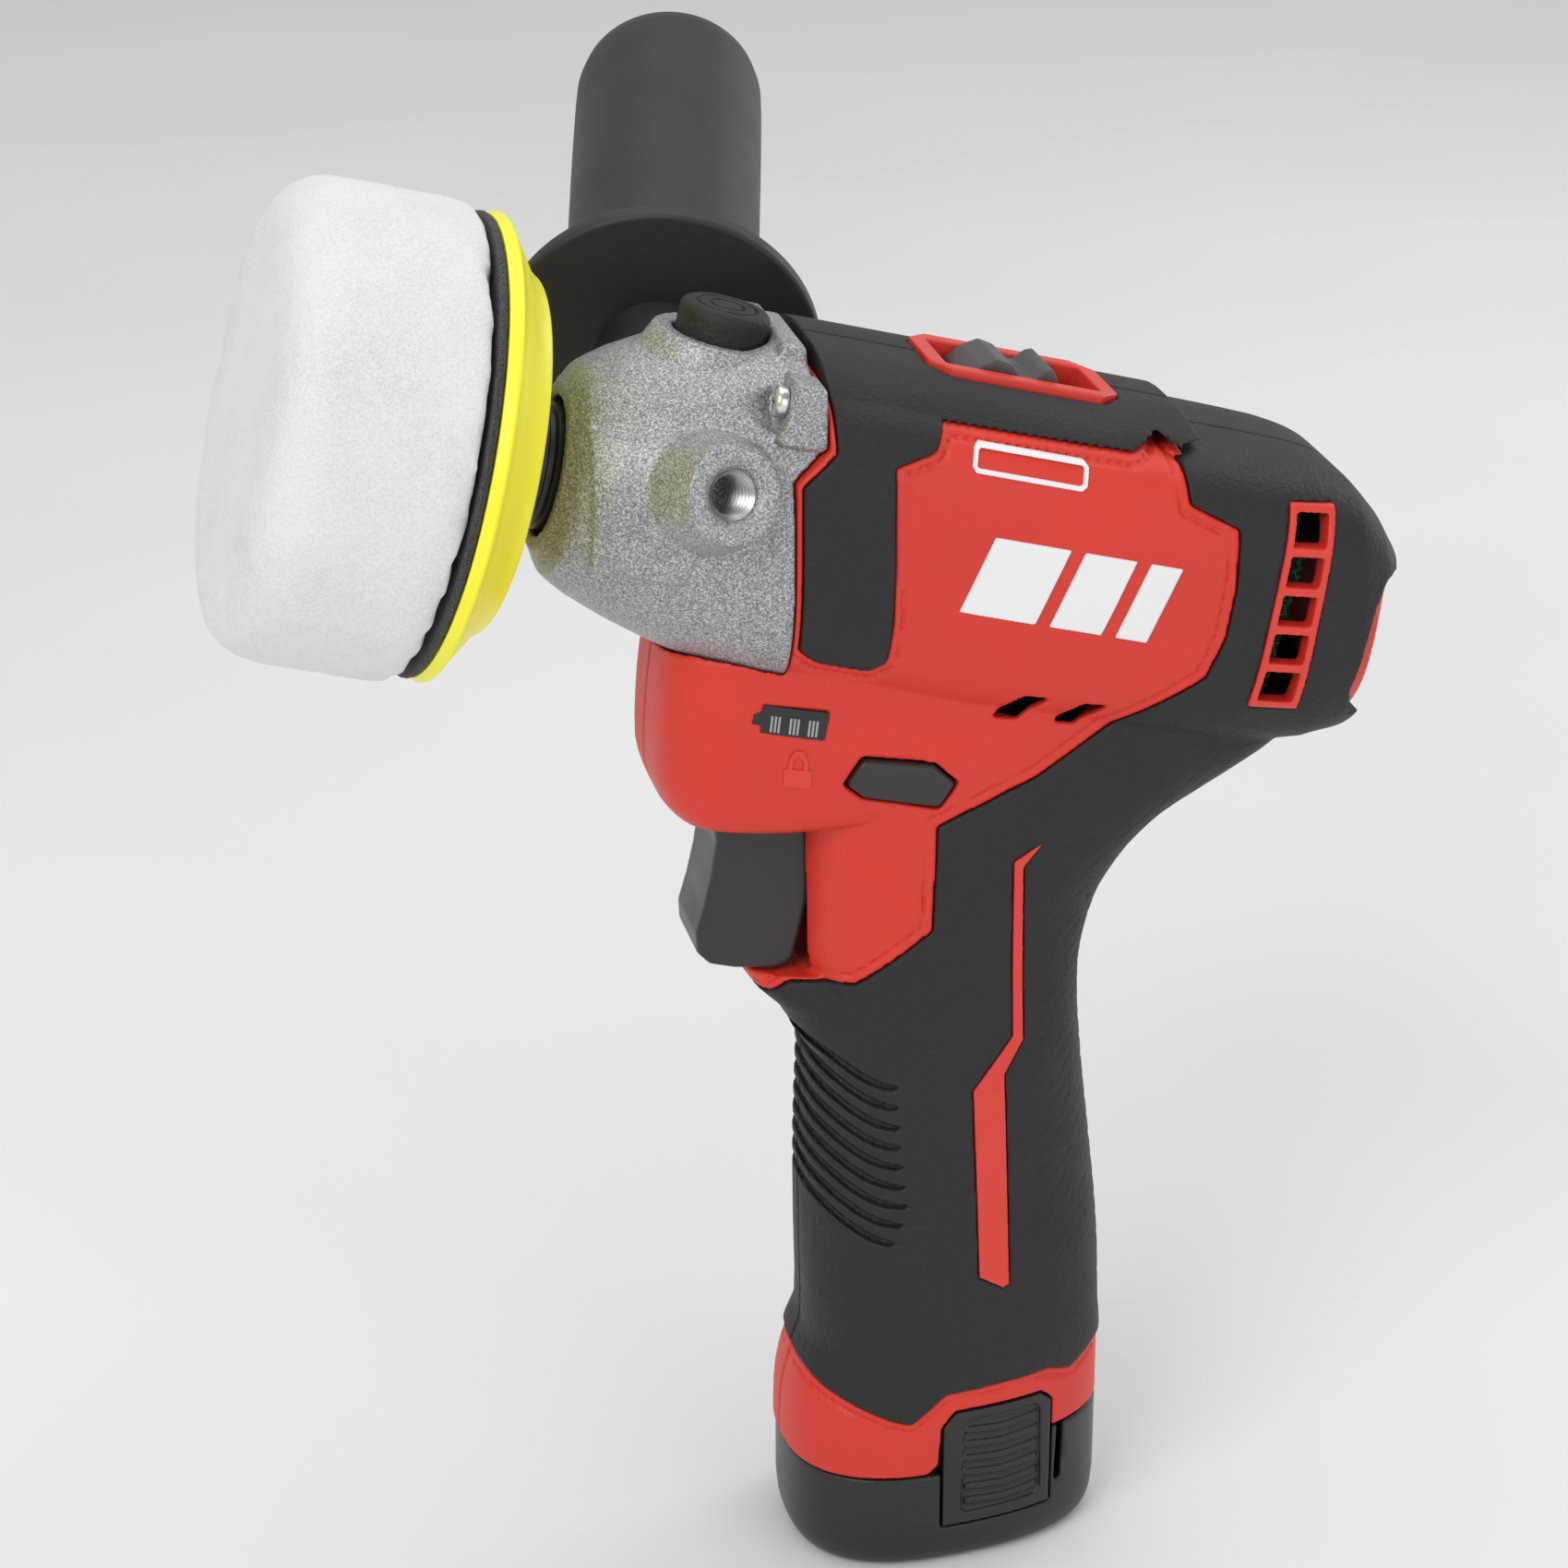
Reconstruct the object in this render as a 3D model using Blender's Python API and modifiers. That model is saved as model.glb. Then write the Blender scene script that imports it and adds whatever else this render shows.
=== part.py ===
"""Cordless dual action polisher with a pistol grip.

All sizes below are in millimetres and are turned into metres when a shape is made.
World frame: the battery's foot stands on z = 0, centred on the origin; the pad faces -X,
the grip's rear faces +X and the side handle stands out towards +Y.
The barrel is tilted nose-up, so its pieces are placed in a frame of their own, held by the
empty "barrel": there x runs rearward along the spindle, y is the world's y and z is up.
"""

import math

import bmesh
import bpy
from mathutils import Matrix, Vector

MM = 0.001

# ---- overall places ----
BARREL_PITCH = math.radians(14.44)      # nose-up tilt of the spindle
BARREL_ORIGIN = (-49.6, 0.0, 200.6)     # on the spindle axis, where the side handle bosses meet
HALF_GAP = 0.15                         # each clamshell half stops this far from the middle plane
FIT = 0.3                               # gap between pieces that touch
RUNNING = 0.4                           # radial gap of a turning or sliding fit

# ---- motor housing ----
HOUSING_HALF_WIDTH = 27.0
HOUSING_TOP = 25.8                      # barrel centre line to its top, at a right angle
HOUSING_BOTTOM = 27.5
SADDLE_TOP = 29.7                       # top of the soft saddle that carries the selector
HOUSING_FRONT = -32.0                   # rim against the gear head, on the sides
HOUSING_TOP_FRONT = -26.3               # rim against the gear head, on top
RIM_STEP_HEIGHT = 214.6                 # where the rim steps back
HOUSING_REAR = 74.0
WALL = 3.6                              # outer form to inner form
MOULD_DEPTH = 1.5                       # soft overmould sunk into the hard shell
MOULD_PROUD = 0.5                       # soft overmould above the hard shell

# ---- trigger block, grip and battery ----
BLOCK_FRONT = -52.0
BLOCK_BOTTOM = 143.3
BLOCK_HALF_WIDTH = 19.0
GRIP_HALF_WIDTH = 19.3
GRIP_FRONT = -25.2
COLLAR_BOTTOM = 19.4
BATTERY_HALF_WIDTH = 20.3
BATTERY_FRONT = -28.6
BATTERY_REAR = 29.0
TOWER_TOP = 96.0                        # top of the battery's tower inside the grip
TOWER_WALL = 1.2
TOWER_GAP = 0.5                         # tower to the inside of the grip
LATCH_WALL = 2.2
CELL_RADIUS = 6.9
CELL_FOOT = 12.0
CELL_LENGTH = 65.0
CONTACT_PLACES = (-7, 0, 7)
CELL_PLACES = [(-9.2, -7.15), (-9.2, 7.15), (3.9, 0.0)]

# ---- gear head ----
NOSE_X = -18.5
NOSE_RADIUS = 13.5
BOSS_UP_TILT = math.radians(17.06)      # both side handle bosses lean up
BOSS_BACK_TILT = math.radians(8.94)     # and towards the rear
BOSS_FACE = HOUSING_HALF_WIDTH + 5.1    # barrel origin to the boss's flat face
BOSS_FACE_RADIUS = 7.7
BOSS_FOOT_RADIUS = 11.0
BOSS_THREAD_RADIUS = 4.0
BOSS_DEPTH = 11.0

# ---- lock button ----
BUTTON_X = 4.6
BUTTON_TOP = 31.4
BUTTON_RADIUS = 7.4
BUTTON_HEIGHT = 6.0
SEAT_TOP = 26.4
SEAT_FLOOR = 22.3
LOCK_PIN_RADIUS = 1.8
LOCK_PIN_TIP = 14.6

# ---- spindle, hub and pad ----
SPINDLE_RADIUS = 5.0
HUB_RADIUS = 10.4
HUB_FRONT = -24.6
HUB_BACK = -16.0
ORBIT_OFFSET = 1.5                      # the pad's axis beside the spindle's
PAD_STUD_RADIUS = 3.0
STUD_HEAD_RADIUS = 8.4
STUD_FRONT = -29.2
PLATE_BACK = -25.2
PLATE_BACK_RADIUS = 29.4
PLATE_FRONT = -34.6
PLATE_RADIUS = 38.0
HOOK_THICKNESS = 1.2
PAD_THICKNESS = 32.0
PAD_RADIUS = 38.8
FRONT_BEARING_RADIUS = 9.0
LOCK_DISK_RADIUS = 13.8

# ---- planetary gears ----
GEAR_MODULE = 0.7
SUN_TEETH = 12
PLANET_TEETH = 18
RING_TEETH = SUN_TEETH + 2 * PLANET_TEETH
PLANET_COUNT = 3
GEAR_FRONT = 17.0
GEAR_WIDTH = 10.0
RING_OUTER_RADIUS = 19.4
PLANET_PIN_RADIUS = 1.6
CARRIER_X = 13.7
CARRIER_RADIUS = 14.6

# ---- motor ----
MOTOR_FRONT = 42.0
MOTOR_LENGTH = 36.0
STATOR_RADIUS = 21.2
ROTOR_RADIUS = 10.6
SHAFT_RADIUS = 2.5
FAN_RADIUS = 18.0
FAN_X = 86.0

# ---- selector on the saddle ----
WINDOW_START = 40.5                     # barrel frame, inner edges of the window
WINDOW_END = 67.5
WINDOW_HALF_WIDTH = 6.8
FRAME_WIDTH = 3.0
FRAME_CORNER = 3.6
SELECTOR_FLOOR = HOUSING_TOP - 1.8
SELECTOR_PLATE = 1.6
RAIL_OVERHANG = 1.4                     # rail beyond the window on each side

# ---- trigger and lock-off button ----
TRIGGER_HALF_WIDTH = 8.2
LOCK_OFF_PROUD = 0.6                    # button above the block on each side

# ---- side handle, measured from the barrel origin along its own axis ----
FLANGE_BACK = BOSS_FACE + 6.5
FLANGE_FRONT = FLANGE_BACK + 3.8
FLANGE_RADIUS = 27.5
HANDLE_START_RADIUS = 16.4
HANDLE_RADIUS = 17.2
HANDLE_END = FLANGE_FRONT + 95.2
HANDLE_SOCKET = FLANGE_BACK + 13.4      # depth of the stud's hole in the handle
STUD_DEPTH = 10.0                       # stud inside the boss
COLLAR_BACK_RADIUS = 9.0                # small collar behind the flange
COLLAR_FRONT_RADIUS = 11.0

# ---- side outlines, as (x, z) ----
FAR = 120.0                             # beyond every face of the tool

BAND_REGION = [
    (HOUSING_TOP_FRONT, 245), (HOUSING_TOP_FRONT, RIM_STEP_HEIGHT),
    (HOUSING_FRONT, RIM_STEP_HEIGHT), (HOUSING_FRONT, 179.2), (-28.0, 176.6),
    (-19.6, 174.4), (-17.0, 176.0), (-16.4, 183.0), (-16.2, 209.4), (-9.3, 211.2), (-7.2, 214.8),
    (7.1, 211.2), (24.7, 206.9), (30.0, 208.6), (33.6, 206.2), (37.4, 206.6), (37.0, 211.5), (33.0, 245),
]
GRIP_REGION = [
    (-40, 39.0), (-28, 38.4), (-24.6, 36.2), (-13.4, 31.3), (-10.0, 30.4), (-3.7, 35.4), (16.0, 36.2),
    (20.6, 34.4), (26.0, 36.8), (FAR, 38.0), (FAR, 230), (43.4, 230), (42.2, 206.2), (32.8, 204.6),
    (33.2, 199.0), (41.5, 194.3), (41.1, 184.6), (39.6, 176.1), (36.5, 169.0), (24.5, 161.6),
    (10.1, 151.8), (-6.4, 144.0), (-6.8, 124.6), (-19.5, 114.6), (-29.6, 114.2), (-33.0, 111.4), (-40, 110.6),
]
CASE_REGION = [
    (-40, -1), (-40, COLLAR_BOTTOM - FIT), (-4.4, COLLAR_BOTTOM - FIT), (-4.4, 8.0), (17.2, 8.0),
    (17.2, 23.3), (40, 23.5), (40, -1),
]
LATCH_REGION = [
    (-4.0, 8.4), (-4.0, 28.6), (-1.6, 31.2), (14.6, 31.2), (16.8, 29.2), (16.8, 8.4),
]
COLLAR_CUT = [
    (-40, 0), (-40, COLLAR_BOTTOM), (-7.0, COLLAR_BOTTOM), (-4.9, 21.2), (-4.4, 28.8), (-1.8, 31.6),
    (14.8, 31.6), (17.2, 29.4), (17.2, 23.8), (40, 24.0), (40, 0),
]
LOCK_OFF_OUTLINE = [
    (-22.1, 153.0), (-19.2, 157.3), (-7.3, 155.2), (-3.5, 151.7), (-6.4, 147.5), (-19.0, 150.4),
]
GAUGE_OUTLINE = [
    (-37.9, 165.2), (-37.5, 167.0), (-36.2, 167.3), (-36.0, 168.6), (-25.2, 166.4), (-25.9, 161.4),
    (-36.6, 163.6), (-36.4, 164.9),
]
TRIGGER_OUTLINE = [
    (-41.8, 142.8), (-41.4, 139.5), (-42.3, 133.5), (-43.6, 127.8), (-45.0, 123.0), (-44.8, 119.6),
    (-42.6, 117.3), (-38.5, 116.2), (-31.0, 115.4), (-28.2, 117.0), (-25.4, 128.0), (-24.6, 136.5),
    (-25.2, 140.2), (-28.6, 142.4), (-34.0, 142.8),
]
VENT_SLOTS = [(1.8, 6.6), (12.0, 16.8)]  # where each slanted side vent starts and ends along its foot
REAR_VENT_COUNT = 5

COLORS = {
    "red": ((0.76, 0.075, 0.045, 1), 0.45, 0.0),
    "black_soft": ((0.022, 0.021, 0.023, 1), 0.7, 0.0),
    "black_hard": ((0.03, 0.03, 0.032, 1), 0.4, 0.0),
    "grey_plastic": ((0.11, 0.11, 0.11, 1), 0.5, 0.0),
    "silver": ((0.4, 0.4, 0.41, 1), 0.35, 0.8),
    "steel": ((0.55, 0.55, 0.56, 1), 0.3, 1.0),
    "dark_steel": ((0.2, 0.2, 0.21, 1), 0.4, 1.0),
    "copper": ((0.6, 0.25, 0.1, 1), 0.4, 1.0),
    "yellow": ((0.95, 0.83, 0.02, 1), 0.45, 0.0),
    "hook_black": ((0.012, 0.012, 0.012, 1), 0.95, 0.0),
    "foam": ((0.85, 0.83, 0.83, 1), 0.95, 0.0),
    "board_green": ((0.02, 0.16, 0.07, 1), 0.5, 0.0),
    "cell_blue": ((0.05, 0.15, 0.4, 1), 0.4, 0.0),
}


# ------------------------------------------------------------------ scene helpers
def clear_scene():
    for obj in list(bpy.data.objects):
        bpy.data.objects.remove(obj, do_unlink=True)


def make_collection(name):
    collection = bpy.data.collections.new(name)
    bpy.context.scene.collection.children.link(collection)
    return collection


def material(key):
    found = bpy.data.materials.get(key)
    if found:
        return found
    color, roughness, metallic = COLORS[key]
    made = bpy.data.materials.new(key)
    made.use_nodes = True
    shader = made.node_tree.nodes["Principled BSDF"]
    shader.inputs["Base Color"].default_value = color
    shader.inputs["Roughness"].default_value = roughness
    shader.inputs["Metallic"].default_value = metallic
    return made


def add_object(name, mesh, color=None, parent=None, place=(0, 0, 0), turn=(0, 0, 0)):
    """A part when it has a colour, a cutter when it has none."""
    obj = bpy.data.objects.new(name, mesh)
    if color:
        PARTS.objects.link(obj)
        mesh.materials.append(material(color))
    else:
        CUTTERS.objects.link(obj)
        obj.hide_render = True
        obj.display_type = "WIRE"
    obj.parent = parent
    obj.location = Vector(place) * MM
    obj.rotation_euler = turn
    return obj


def add_empty(name, place, turn=(0, 0, 0), parent=None):
    empty = bpy.data.objects.new(name, None)
    PARTS.objects.link(empty)
    empty.parent = parent
    empty.location = Vector(place) * MM
    empty.rotation_euler = turn
    empty.empty_display_size = 0.01
    return empty


def mesh_from(bm, name, smooth_angle=35):
    bmesh.ops.recalc_face_normals(bm, faces=bm.faces)
    mesh = bpy.data.meshes.new(name)
    bm.to_mesh(mesh)
    bm.free()
    mesh.shade_smooth()
    mesh.set_sharp_from_angle(angle=math.radians(smooth_angle))
    return mesh


# ------------------------------------------------------------------ shapes
def box_mesh(name, low, high):
    """A box between two corners."""
    bm = bmesh.new()
    bmesh.ops.create_cube(bm, size=1)
    size = [b - a for a, b in zip(low, high)]
    middle = [(a + b) / 2 for a, b in zip(low, high)]
    bmesh.ops.scale(bm, vec=Vector(size) * MM, verts=bm.verts)
    bmesh.ops.translate(bm, vec=Vector(middle) * MM, verts=bm.verts)
    return mesh_from(bm, name)


def add_rod(bm, radius, start, end, at=(0, 0), sides=20, end_radius=None):
    """A closed cylinder or cone along z."""
    made = bmesh.ops.create_cone(
        bm,
        cap_ends=True,
        segments=sides,
        radius1=radius * MM,
        radius2=(radius if end_radius is None else end_radius) * MM,
        depth=(end - start) * MM,
    )
    middle = Vector((at[0], at[1], (start + end) / 2)) * MM
    bmesh.ops.translate(bm, vec=middle, verts=made["verts"])


def rod_mesh(name, radius, start, end, at=(0, 0), sides=20, end_radius=None):
    bm = bmesh.new()
    add_rod(bm, radius, start, end, at, sides, end_radius)
    return mesh_from(bm, name)


def turned(name, profile, color, parent=None, place=(0, 0, 0), turn=(0, 0, 0), steps=28, closed=True):
    """A Screw about local z. The profile is (radius, z) points running down its outer side."""
    mesh = bpy.data.meshes.new(name)
    points = [(radius * MM, 0, z * MM) for radius, z in profile]
    edges = [(i, i + 1) for i in range(len(points) - 1)]
    if closed:
        edges.append((len(points) - 1, 0))
    mesh.from_pydata(points, edges, [])
    obj = add_object(name, mesh, color, parent, place, turn)
    screw = obj.modifiers.new("Turn", "SCREW")
    screw.angle = 2 * math.pi
    screw.steps = steps
    screw.render_steps = steps
    screw.use_merge_vertices = True
    screw.merge_threshold = 0.00001
    screw.use_smooth_shade = True
    return obj


def ring(name, outer, inner, start, end, color, parent=None, place=(0, 0, 0), turn=(0, 0, 0), steps=28):
    return turned(name, [(outer, end), (outer, start), (inner, start), (inner, end)],
                  color, parent, place, turn, steps)


def flat_mesh(name, outlines, thickness):
    """Closed outlines (the first outside, the rest holes) filled in local xy and extruded both ways."""
    curve = bpy.data.curves.new(name, "CURVE")
    curve.dimensions = "2D"
    curve.fill_mode = "BOTH"
    curve.extrude = thickness / 2 * MM
    for outline in outlines:
        spline = curve.splines.new("POLY")
        spline.points.add(len(outline) - 1)
        for point, (x, y) in zip(spline.points, outline):
            point.co = (x * MM, y * MM, 0, 1)
        spline.use_cyclic_u = True
    guide = bpy.data.objects.new(name + "_outline", curve)
    bpy.context.scene.collection.objects.link(guide)
    bpy.context.view_layer.update()
    graph = bpy.context.evaluated_depsgraph_get()
    mesh = bpy.data.meshes.new_from_object(guide.evaluated_get(graph))
    bpy.data.objects.remove(guide)
    bpy.data.curves.remove(curve)
    bm = bmesh.new()
    bm.from_mesh(mesh)
    bmesh.ops.remove_doubles(bm, verts=bm.verts, dist=0.000002)
    bmesh.ops.dissolve_limit(bm, angle_limit=0.001, verts=bm.verts, edges=bm.edges)
    bpy.data.meshes.remove(mesh)
    return mesh_from(bm, name)


def side_prism_mesh(name, outline, low_y, high_y):
    """An outline of (x, z) points, extruded along y."""
    mesh = flat_mesh(name, [[(x, z) for x, z in outline]], high_y - low_y)
    # local z of the flat shape becomes -y, its y becomes z
    mesh.transform(Matrix.Rotation(math.pi / 2, 4, "X"))
    mesh.transform(Matrix.Translation((0, (low_y + high_y) / 2 * MM, 0)))
    return mesh


def circle(radius, count, phase=0.0, at=(0, 0)):
    return [
        (at[0] + radius * math.cos(phase + 2 * math.pi * i / count),
         at[1] + radius * math.sin(phase + 2 * math.pi * i / count))
        for i in range(count)
    ]


def loft_mesh(name, rings):
    """A closed skin through rings of equal point counts, with flat ends."""
    bm = bmesh.new()
    made = [[bm.verts.new(Vector(p) * MM) for p in points] for points in rings]
    count = len(made[0])
    for first, second in zip(made, made[1:]):
        for i in range(count):
            j = (i + 1) % count
            bm.faces.new((first[i], first[j], second[j], second[i]))
    bm.faces.new(made[0])
    bm.faces.new(made[-1])
    return mesh_from(bm, name)


def rounded(angle, half_a, half_b, power):
    """A point of a superellipse."""
    c, s = math.cos(angle), math.sin(angle)
    return (
        half_a * math.copysign(abs(c) ** (2 / power), c),
        half_b * math.copysign(abs(s) ** (2 / power), s),
    )


def level_ring(z, front, rear, half_width, power, taper=0.0, count=28):
    """A level section; taper narrows the rear and widens the front."""
    middle, reach = (front + rear) / 2, (rear - front) / 2
    points = []
    for i in range(count):
        x, y = rounded(2 * math.pi * i / count, reach, half_width, power)
        points.append((middle + x, y * (1 - taper * x / reach), z))
    return points


def upright_ring(x, center, top, bottom, half_width, top_power, bottom_power, count=32):
    """An upright section across the barrel."""
    points = []
    for i in range(count):
        angle = 2 * math.pi * i / count
        up = math.sin(angle) >= 0
        y, z = rounded(angle, half_width, top if up else bottom, top_power if up else bottom_power)
        points.append((x, y, center + z))
    return points


def boolean(obj, other, operation):
    """other is one cutter object or a list of them."""
    for cutter in other if isinstance(other, list) else [other]:
        modifier = obj.modifiers.new(operation.title(), "BOOLEAN")
        modifier.operation = operation
        modifier.object = cutter
        modifier.solver = "EXACT"


def spring(name, radius, wire, start, end, turns, color, parent, place=(0, 0, 0), turn=(0, 0, 0)):
    """A helix along local z, as a curve with a round section."""
    curve = bpy.data.curves.new(name, "CURVE")
    curve.dimensions = "3D"
    curve.bevel_depth = wire / 2 * MM
    curve.bevel_resolution = 1
    curve.use_fill_caps = True
    per_turn = 12
    count = turns * per_turn + 1
    spline = curve.splines.new("POLY")
    spline.points.add(count - 1)
    for i, point in enumerate(spline.points):
        angle = 2 * math.pi * i / per_turn
        z = start + (end - start) * i / (count - 1)
        point.co = (radius * math.cos(angle) * MM, radius * math.sin(angle) * MM, z * MM, 1)
    obj = bpy.data.objects.new(name, curve)
    PARTS.objects.link(obj)
    curve.materials.append(material(color))
    obj.parent = parent
    obj.location = Vector(place) * MM
    obj.rotation_euler = turn
    return obj


# ------------------------------------------------------------------ the housing's outer form
def axis_height(x):
    """World height of the spindle axis at a world x."""
    return BARREL_ORIGIN[2] - (x - BARREL_ORIGIN[0]) * math.tan(BARREL_PITCH)


def barrel_form(name, grow, top=None, top_power=4.6, front=None, count=32):
    """The motor housing as upright sections; grow moves its skin outwards."""
    slope = 1 / math.cos(BARREL_PITCH)
    high = (HOUSING_TOP if top is None else top) * slope
    low = HOUSING_BOTTOM * slope
    start = HOUSING_FRONT if front is None else front
    rear = HOUSING_REAR
    # distance from the rear end, share of the half width, drop of the top, rise of the bottom
    stations = [
        (rear - start, 0.985, 0.0, 0.0),
        (rear, 1.0, 0.0, 0.0),
        (34.0, 0.985, 0.0, 1.5),
        (17.0, 0.93, 0.2, 6.0),
        (10.0, 0.86, 1.5, 9.0),
        (5.0, 0.75, 6.0, 13.0),
        (1.5, 0.62, 11.0, 16.5),
        (0.0, 0.5, 15.0, 20.0),
    ]
    rings = []
    for back, share, drop, rise in stations:
        x = rear - back + grow * max(0.0, 1 - back / 34.0)
        rings.append(upright_ring(
            x, axis_height(x), high - drop + grow, low - rise + grow,
            HOUSING_HALF_WIDTH * share + grow, top_power, 2.6, count))
    return loft_mesh(name, rings)


def block_form(name, grow):
    """The trigger block under the barrel, as level sections."""
    levels = [
        # z, front, rear, half width, power
        (BLOCK_BOTTOM - grow, BLOCK_FRONT + 9.0, 4.0, BLOCK_HALF_WIDTH - 4.0, 3.5),
        (BLOCK_BOTTOM + 1.6 - grow, BLOCK_FRONT + 4.2, 12.0, BLOCK_HALF_WIDTH - 1.6, 4.0),
        (BLOCK_BOTTOM + 4.8 - min(grow, 0), BLOCK_FRONT + 1.4, 20.0, BLOCK_HALF_WIDTH - 0.3, 4.0),
        (BLOCK_BOTTOM + 10.0, BLOCK_FRONT, 28.0, BLOCK_HALF_WIDTH, 4.5),
        (BLOCK_BOTTOM + 22.0, BLOCK_FRONT + 0.5, 42.0, BLOCK_HALF_WIDTH + 1.0, 4.5),
        (BLOCK_BOTTOM + 32.0 + min(grow, 0), BLOCK_FRONT + 1.8, 44.0, BLOCK_HALF_WIDTH + 2.0, 4.0),
        (BLOCK_BOTTOM + 34.5 + grow, BLOCK_FRONT + 3.6, 40.0, BLOCK_HALF_WIDTH + 0.5, 4.0),
    ]
    return loft_mesh(name, [
        level_ring(z, front - grow, rear + grow, width + grow, power)
        for z, front, rear, width, power in levels
    ])


def grip_form(name, grow):
    """The grip from its collar at the battery up into the barrel, as level sections."""
    levels = [
        # z, front, rear, half width, power, taper
        (COLLAR_BOTTOM, BATTERY_FRONT - 0.5, BATTERY_REAR + 0.1, BATTERY_HALF_WIDTH, 2.5, 0.16),
        (29.0, BATTERY_FRONT - 0.1, BATTERY_REAR, BATTERY_HALF_WIDTH, 2.5, 0.16),
        (37.5, GRIP_FRONT - 1.6, BATTERY_REAR - 0.1, BATTERY_HALF_WIDTH - 0.5, 2.5, 0.14),
        (43.0, GRIP_FRONT + 0.4, BATTERY_REAR - 0.6, GRIP_HALF_WIDTH, 2.5, 0.12),
        (59.0, GRIP_FRONT + 0.2, 27.6, GRIP_HALF_WIDTH, 2.5, 0.10),
        (78.0, GRIP_FRONT, 25.4, GRIP_HALF_WIDTH, 2.5, 0.06),
        (98.0, GRIP_FRONT + 0.5, 23.0, GRIP_HALF_WIDTH - 0.4, 2.6, 0.03),
        (111.0, GRIP_FRONT - 1.0, 22.3, GRIP_HALF_WIDTH - 0.8, 2.7, 0.0),
        (119.0, GRIP_FRONT - 2.0, 23.2, GRIP_HALF_WIDTH - 0.8, 2.9, 0.0),
        (127.0, GRIP_FRONT - 2.0, 25.6, GRIP_HALF_WIDTH - 0.6, 3.1, 0.0),
        (134.5, GRIP_FRONT - 2.0, 30.4, GRIP_HALF_WIDTH - 0.2, 3.3, 0.0),
        (140.5, GRIP_FRONT - 2.0, 37.0, GRIP_HALF_WIDTH, 3.4, 0.0),
        (146.5, GRIP_FRONT - 2.0, 47.5, GRIP_HALF_WIDTH + 0.5, 3.4, 0.0),
        (152.5, GRIP_FRONT - 2.0, 57.0, GRIP_HALF_WIDTH + 1.0, 3.4, 0.0),
        (165.0, GRIP_FRONT - 2.0, 60.0, GRIP_HALF_WIDTH + 1.0, 3.4, 0.0),
    ]
    return loft_mesh(name, [
        level_ring(z, front - grow, rear + grow, width + grow, power, taper)
        for z, front, rear, width, power, taper in levels
    ])


def guard_form(name, grow):
    """The hooked guard under the trigger."""
    under = -0.4 * grow                 # the hook's underside faces down, so its skin grows that way
    levels = [
        (97.0 + under, GRIP_FRONT + 1.4, GRIP_HALF_WIDTH - 3.0),
        (102.0 + under, GRIP_FRONT - 1.6, GRIP_HALF_WIDTH - 3.5),
        (107.5 + under, GRIP_FRONT - 4.6, GRIP_HALF_WIDTH - 4.0),
        (111.0 + under, GRIP_FRONT - 8.4, GRIP_HALF_WIDTH - 5.0),
        (112.9, GRIP_FRONT - 10.5, GRIP_HALF_WIDTH - 6.0),
        (114.9 + grow, GRIP_FRONT - 11.0, GRIP_HALF_WIDTH - 6.6),
    ]
    return loft_mesh(name, [
        level_ring(z, front - grow, 10.0 + grow, width + grow, 2.8) for z, front, width in levels
    ])


def housing_form(name, grow):
    """One cutter object: barrel, block, grip and guard joined."""
    whole = add_object(name, barrel_form(name, grow))
    pieces = [
        add_object(name + "_block", block_form(name + "_block", grow)),
        add_object(name + "_grip", grip_form(name + "_grip", grow)),
        add_object(name + "_guard", guard_form(name + "_guard", grow)),
    ]
    boolean(whole, pieces, "UNION")
    return whole


# ------------------------------------------------------------------ cutters from outlines
def grown(outline, by):
    """An outline moved outwards by the same distance on every side."""
    area = sum(a[0] * b[1] - b[0] * a[1] for a, b in zip(outline, outline[1:] + outline[:1]))
    turn = 1 if area > 0 else -1
    moved = []
    for i, here in enumerate(outline):
        before, after = outline[i - 1], outline[(i + 1) % len(outline)]
        first = (Vector(here) - Vector(before)).normalized()
        second = (Vector(after) - Vector(here)).normalized()
        normal_a = Vector((first.y, -first.x)) * turn
        normal_b = Vector((second.y, -second.x)) * turn
        middle = (normal_a + normal_b).normalized()
        reach = by / max(0.5, middle.dot(normal_a))
        moved.append((here[0] + middle.x * reach, here[1] + middle.y * reach))
    return moved


def prism(name, outline, low_y=-FAR / 2, high_y=FAR / 2):
    return add_object(name, side_prism_mesh(name, outline, low_y, high_y))


def half_space(name, side):
    """Everything on one side of the middle plane; side is -1 for left, +1 for right."""
    low, high = sorted((side * HALF_GAP, side * FAR))
    return add_object(name, box_mesh(name, (-FAR, low, -20), (FAR, high, 300)))


# ------------------------------------------------------------------ building
clear_scene()
PARTS = make_collection("dual_action_polisher")
CUTTERS = make_collection("cutters")
BARREL = add_empty("barrel", BARREL_ORIGIN, (0, BARREL_PITCH, 0))
ALONG = (0, math.pi / 2, 0)             # turns a piece's z to run rearward in the barrel frame


def barrel_cutter(name, mesh, turn=(0, 0, 0), place=(0, 0, 0)):
    return add_object(name, mesh, None, BARREL, place, turn)


def boss_axis(side):
    """Unit direction of a side handle boss in the barrel frame."""
    return Vector((math.tan(BOSS_BACK_TILT), side, math.tan(BOSS_UP_TILT))).normalized()


def boss_empty(side, name):
    empty = add_empty(name, (0, 0, 0), (0, 0, 0), BARREL)
    empty.rotation_euler = boss_axis(side).to_track_quat("Z", "Y").to_euler()
    return empty


LEFT_BOSS = boss_empty(-1, "left_boss_axis")
RIGHT_BOSS = boss_empty(1, "right_boss_axis")


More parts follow.
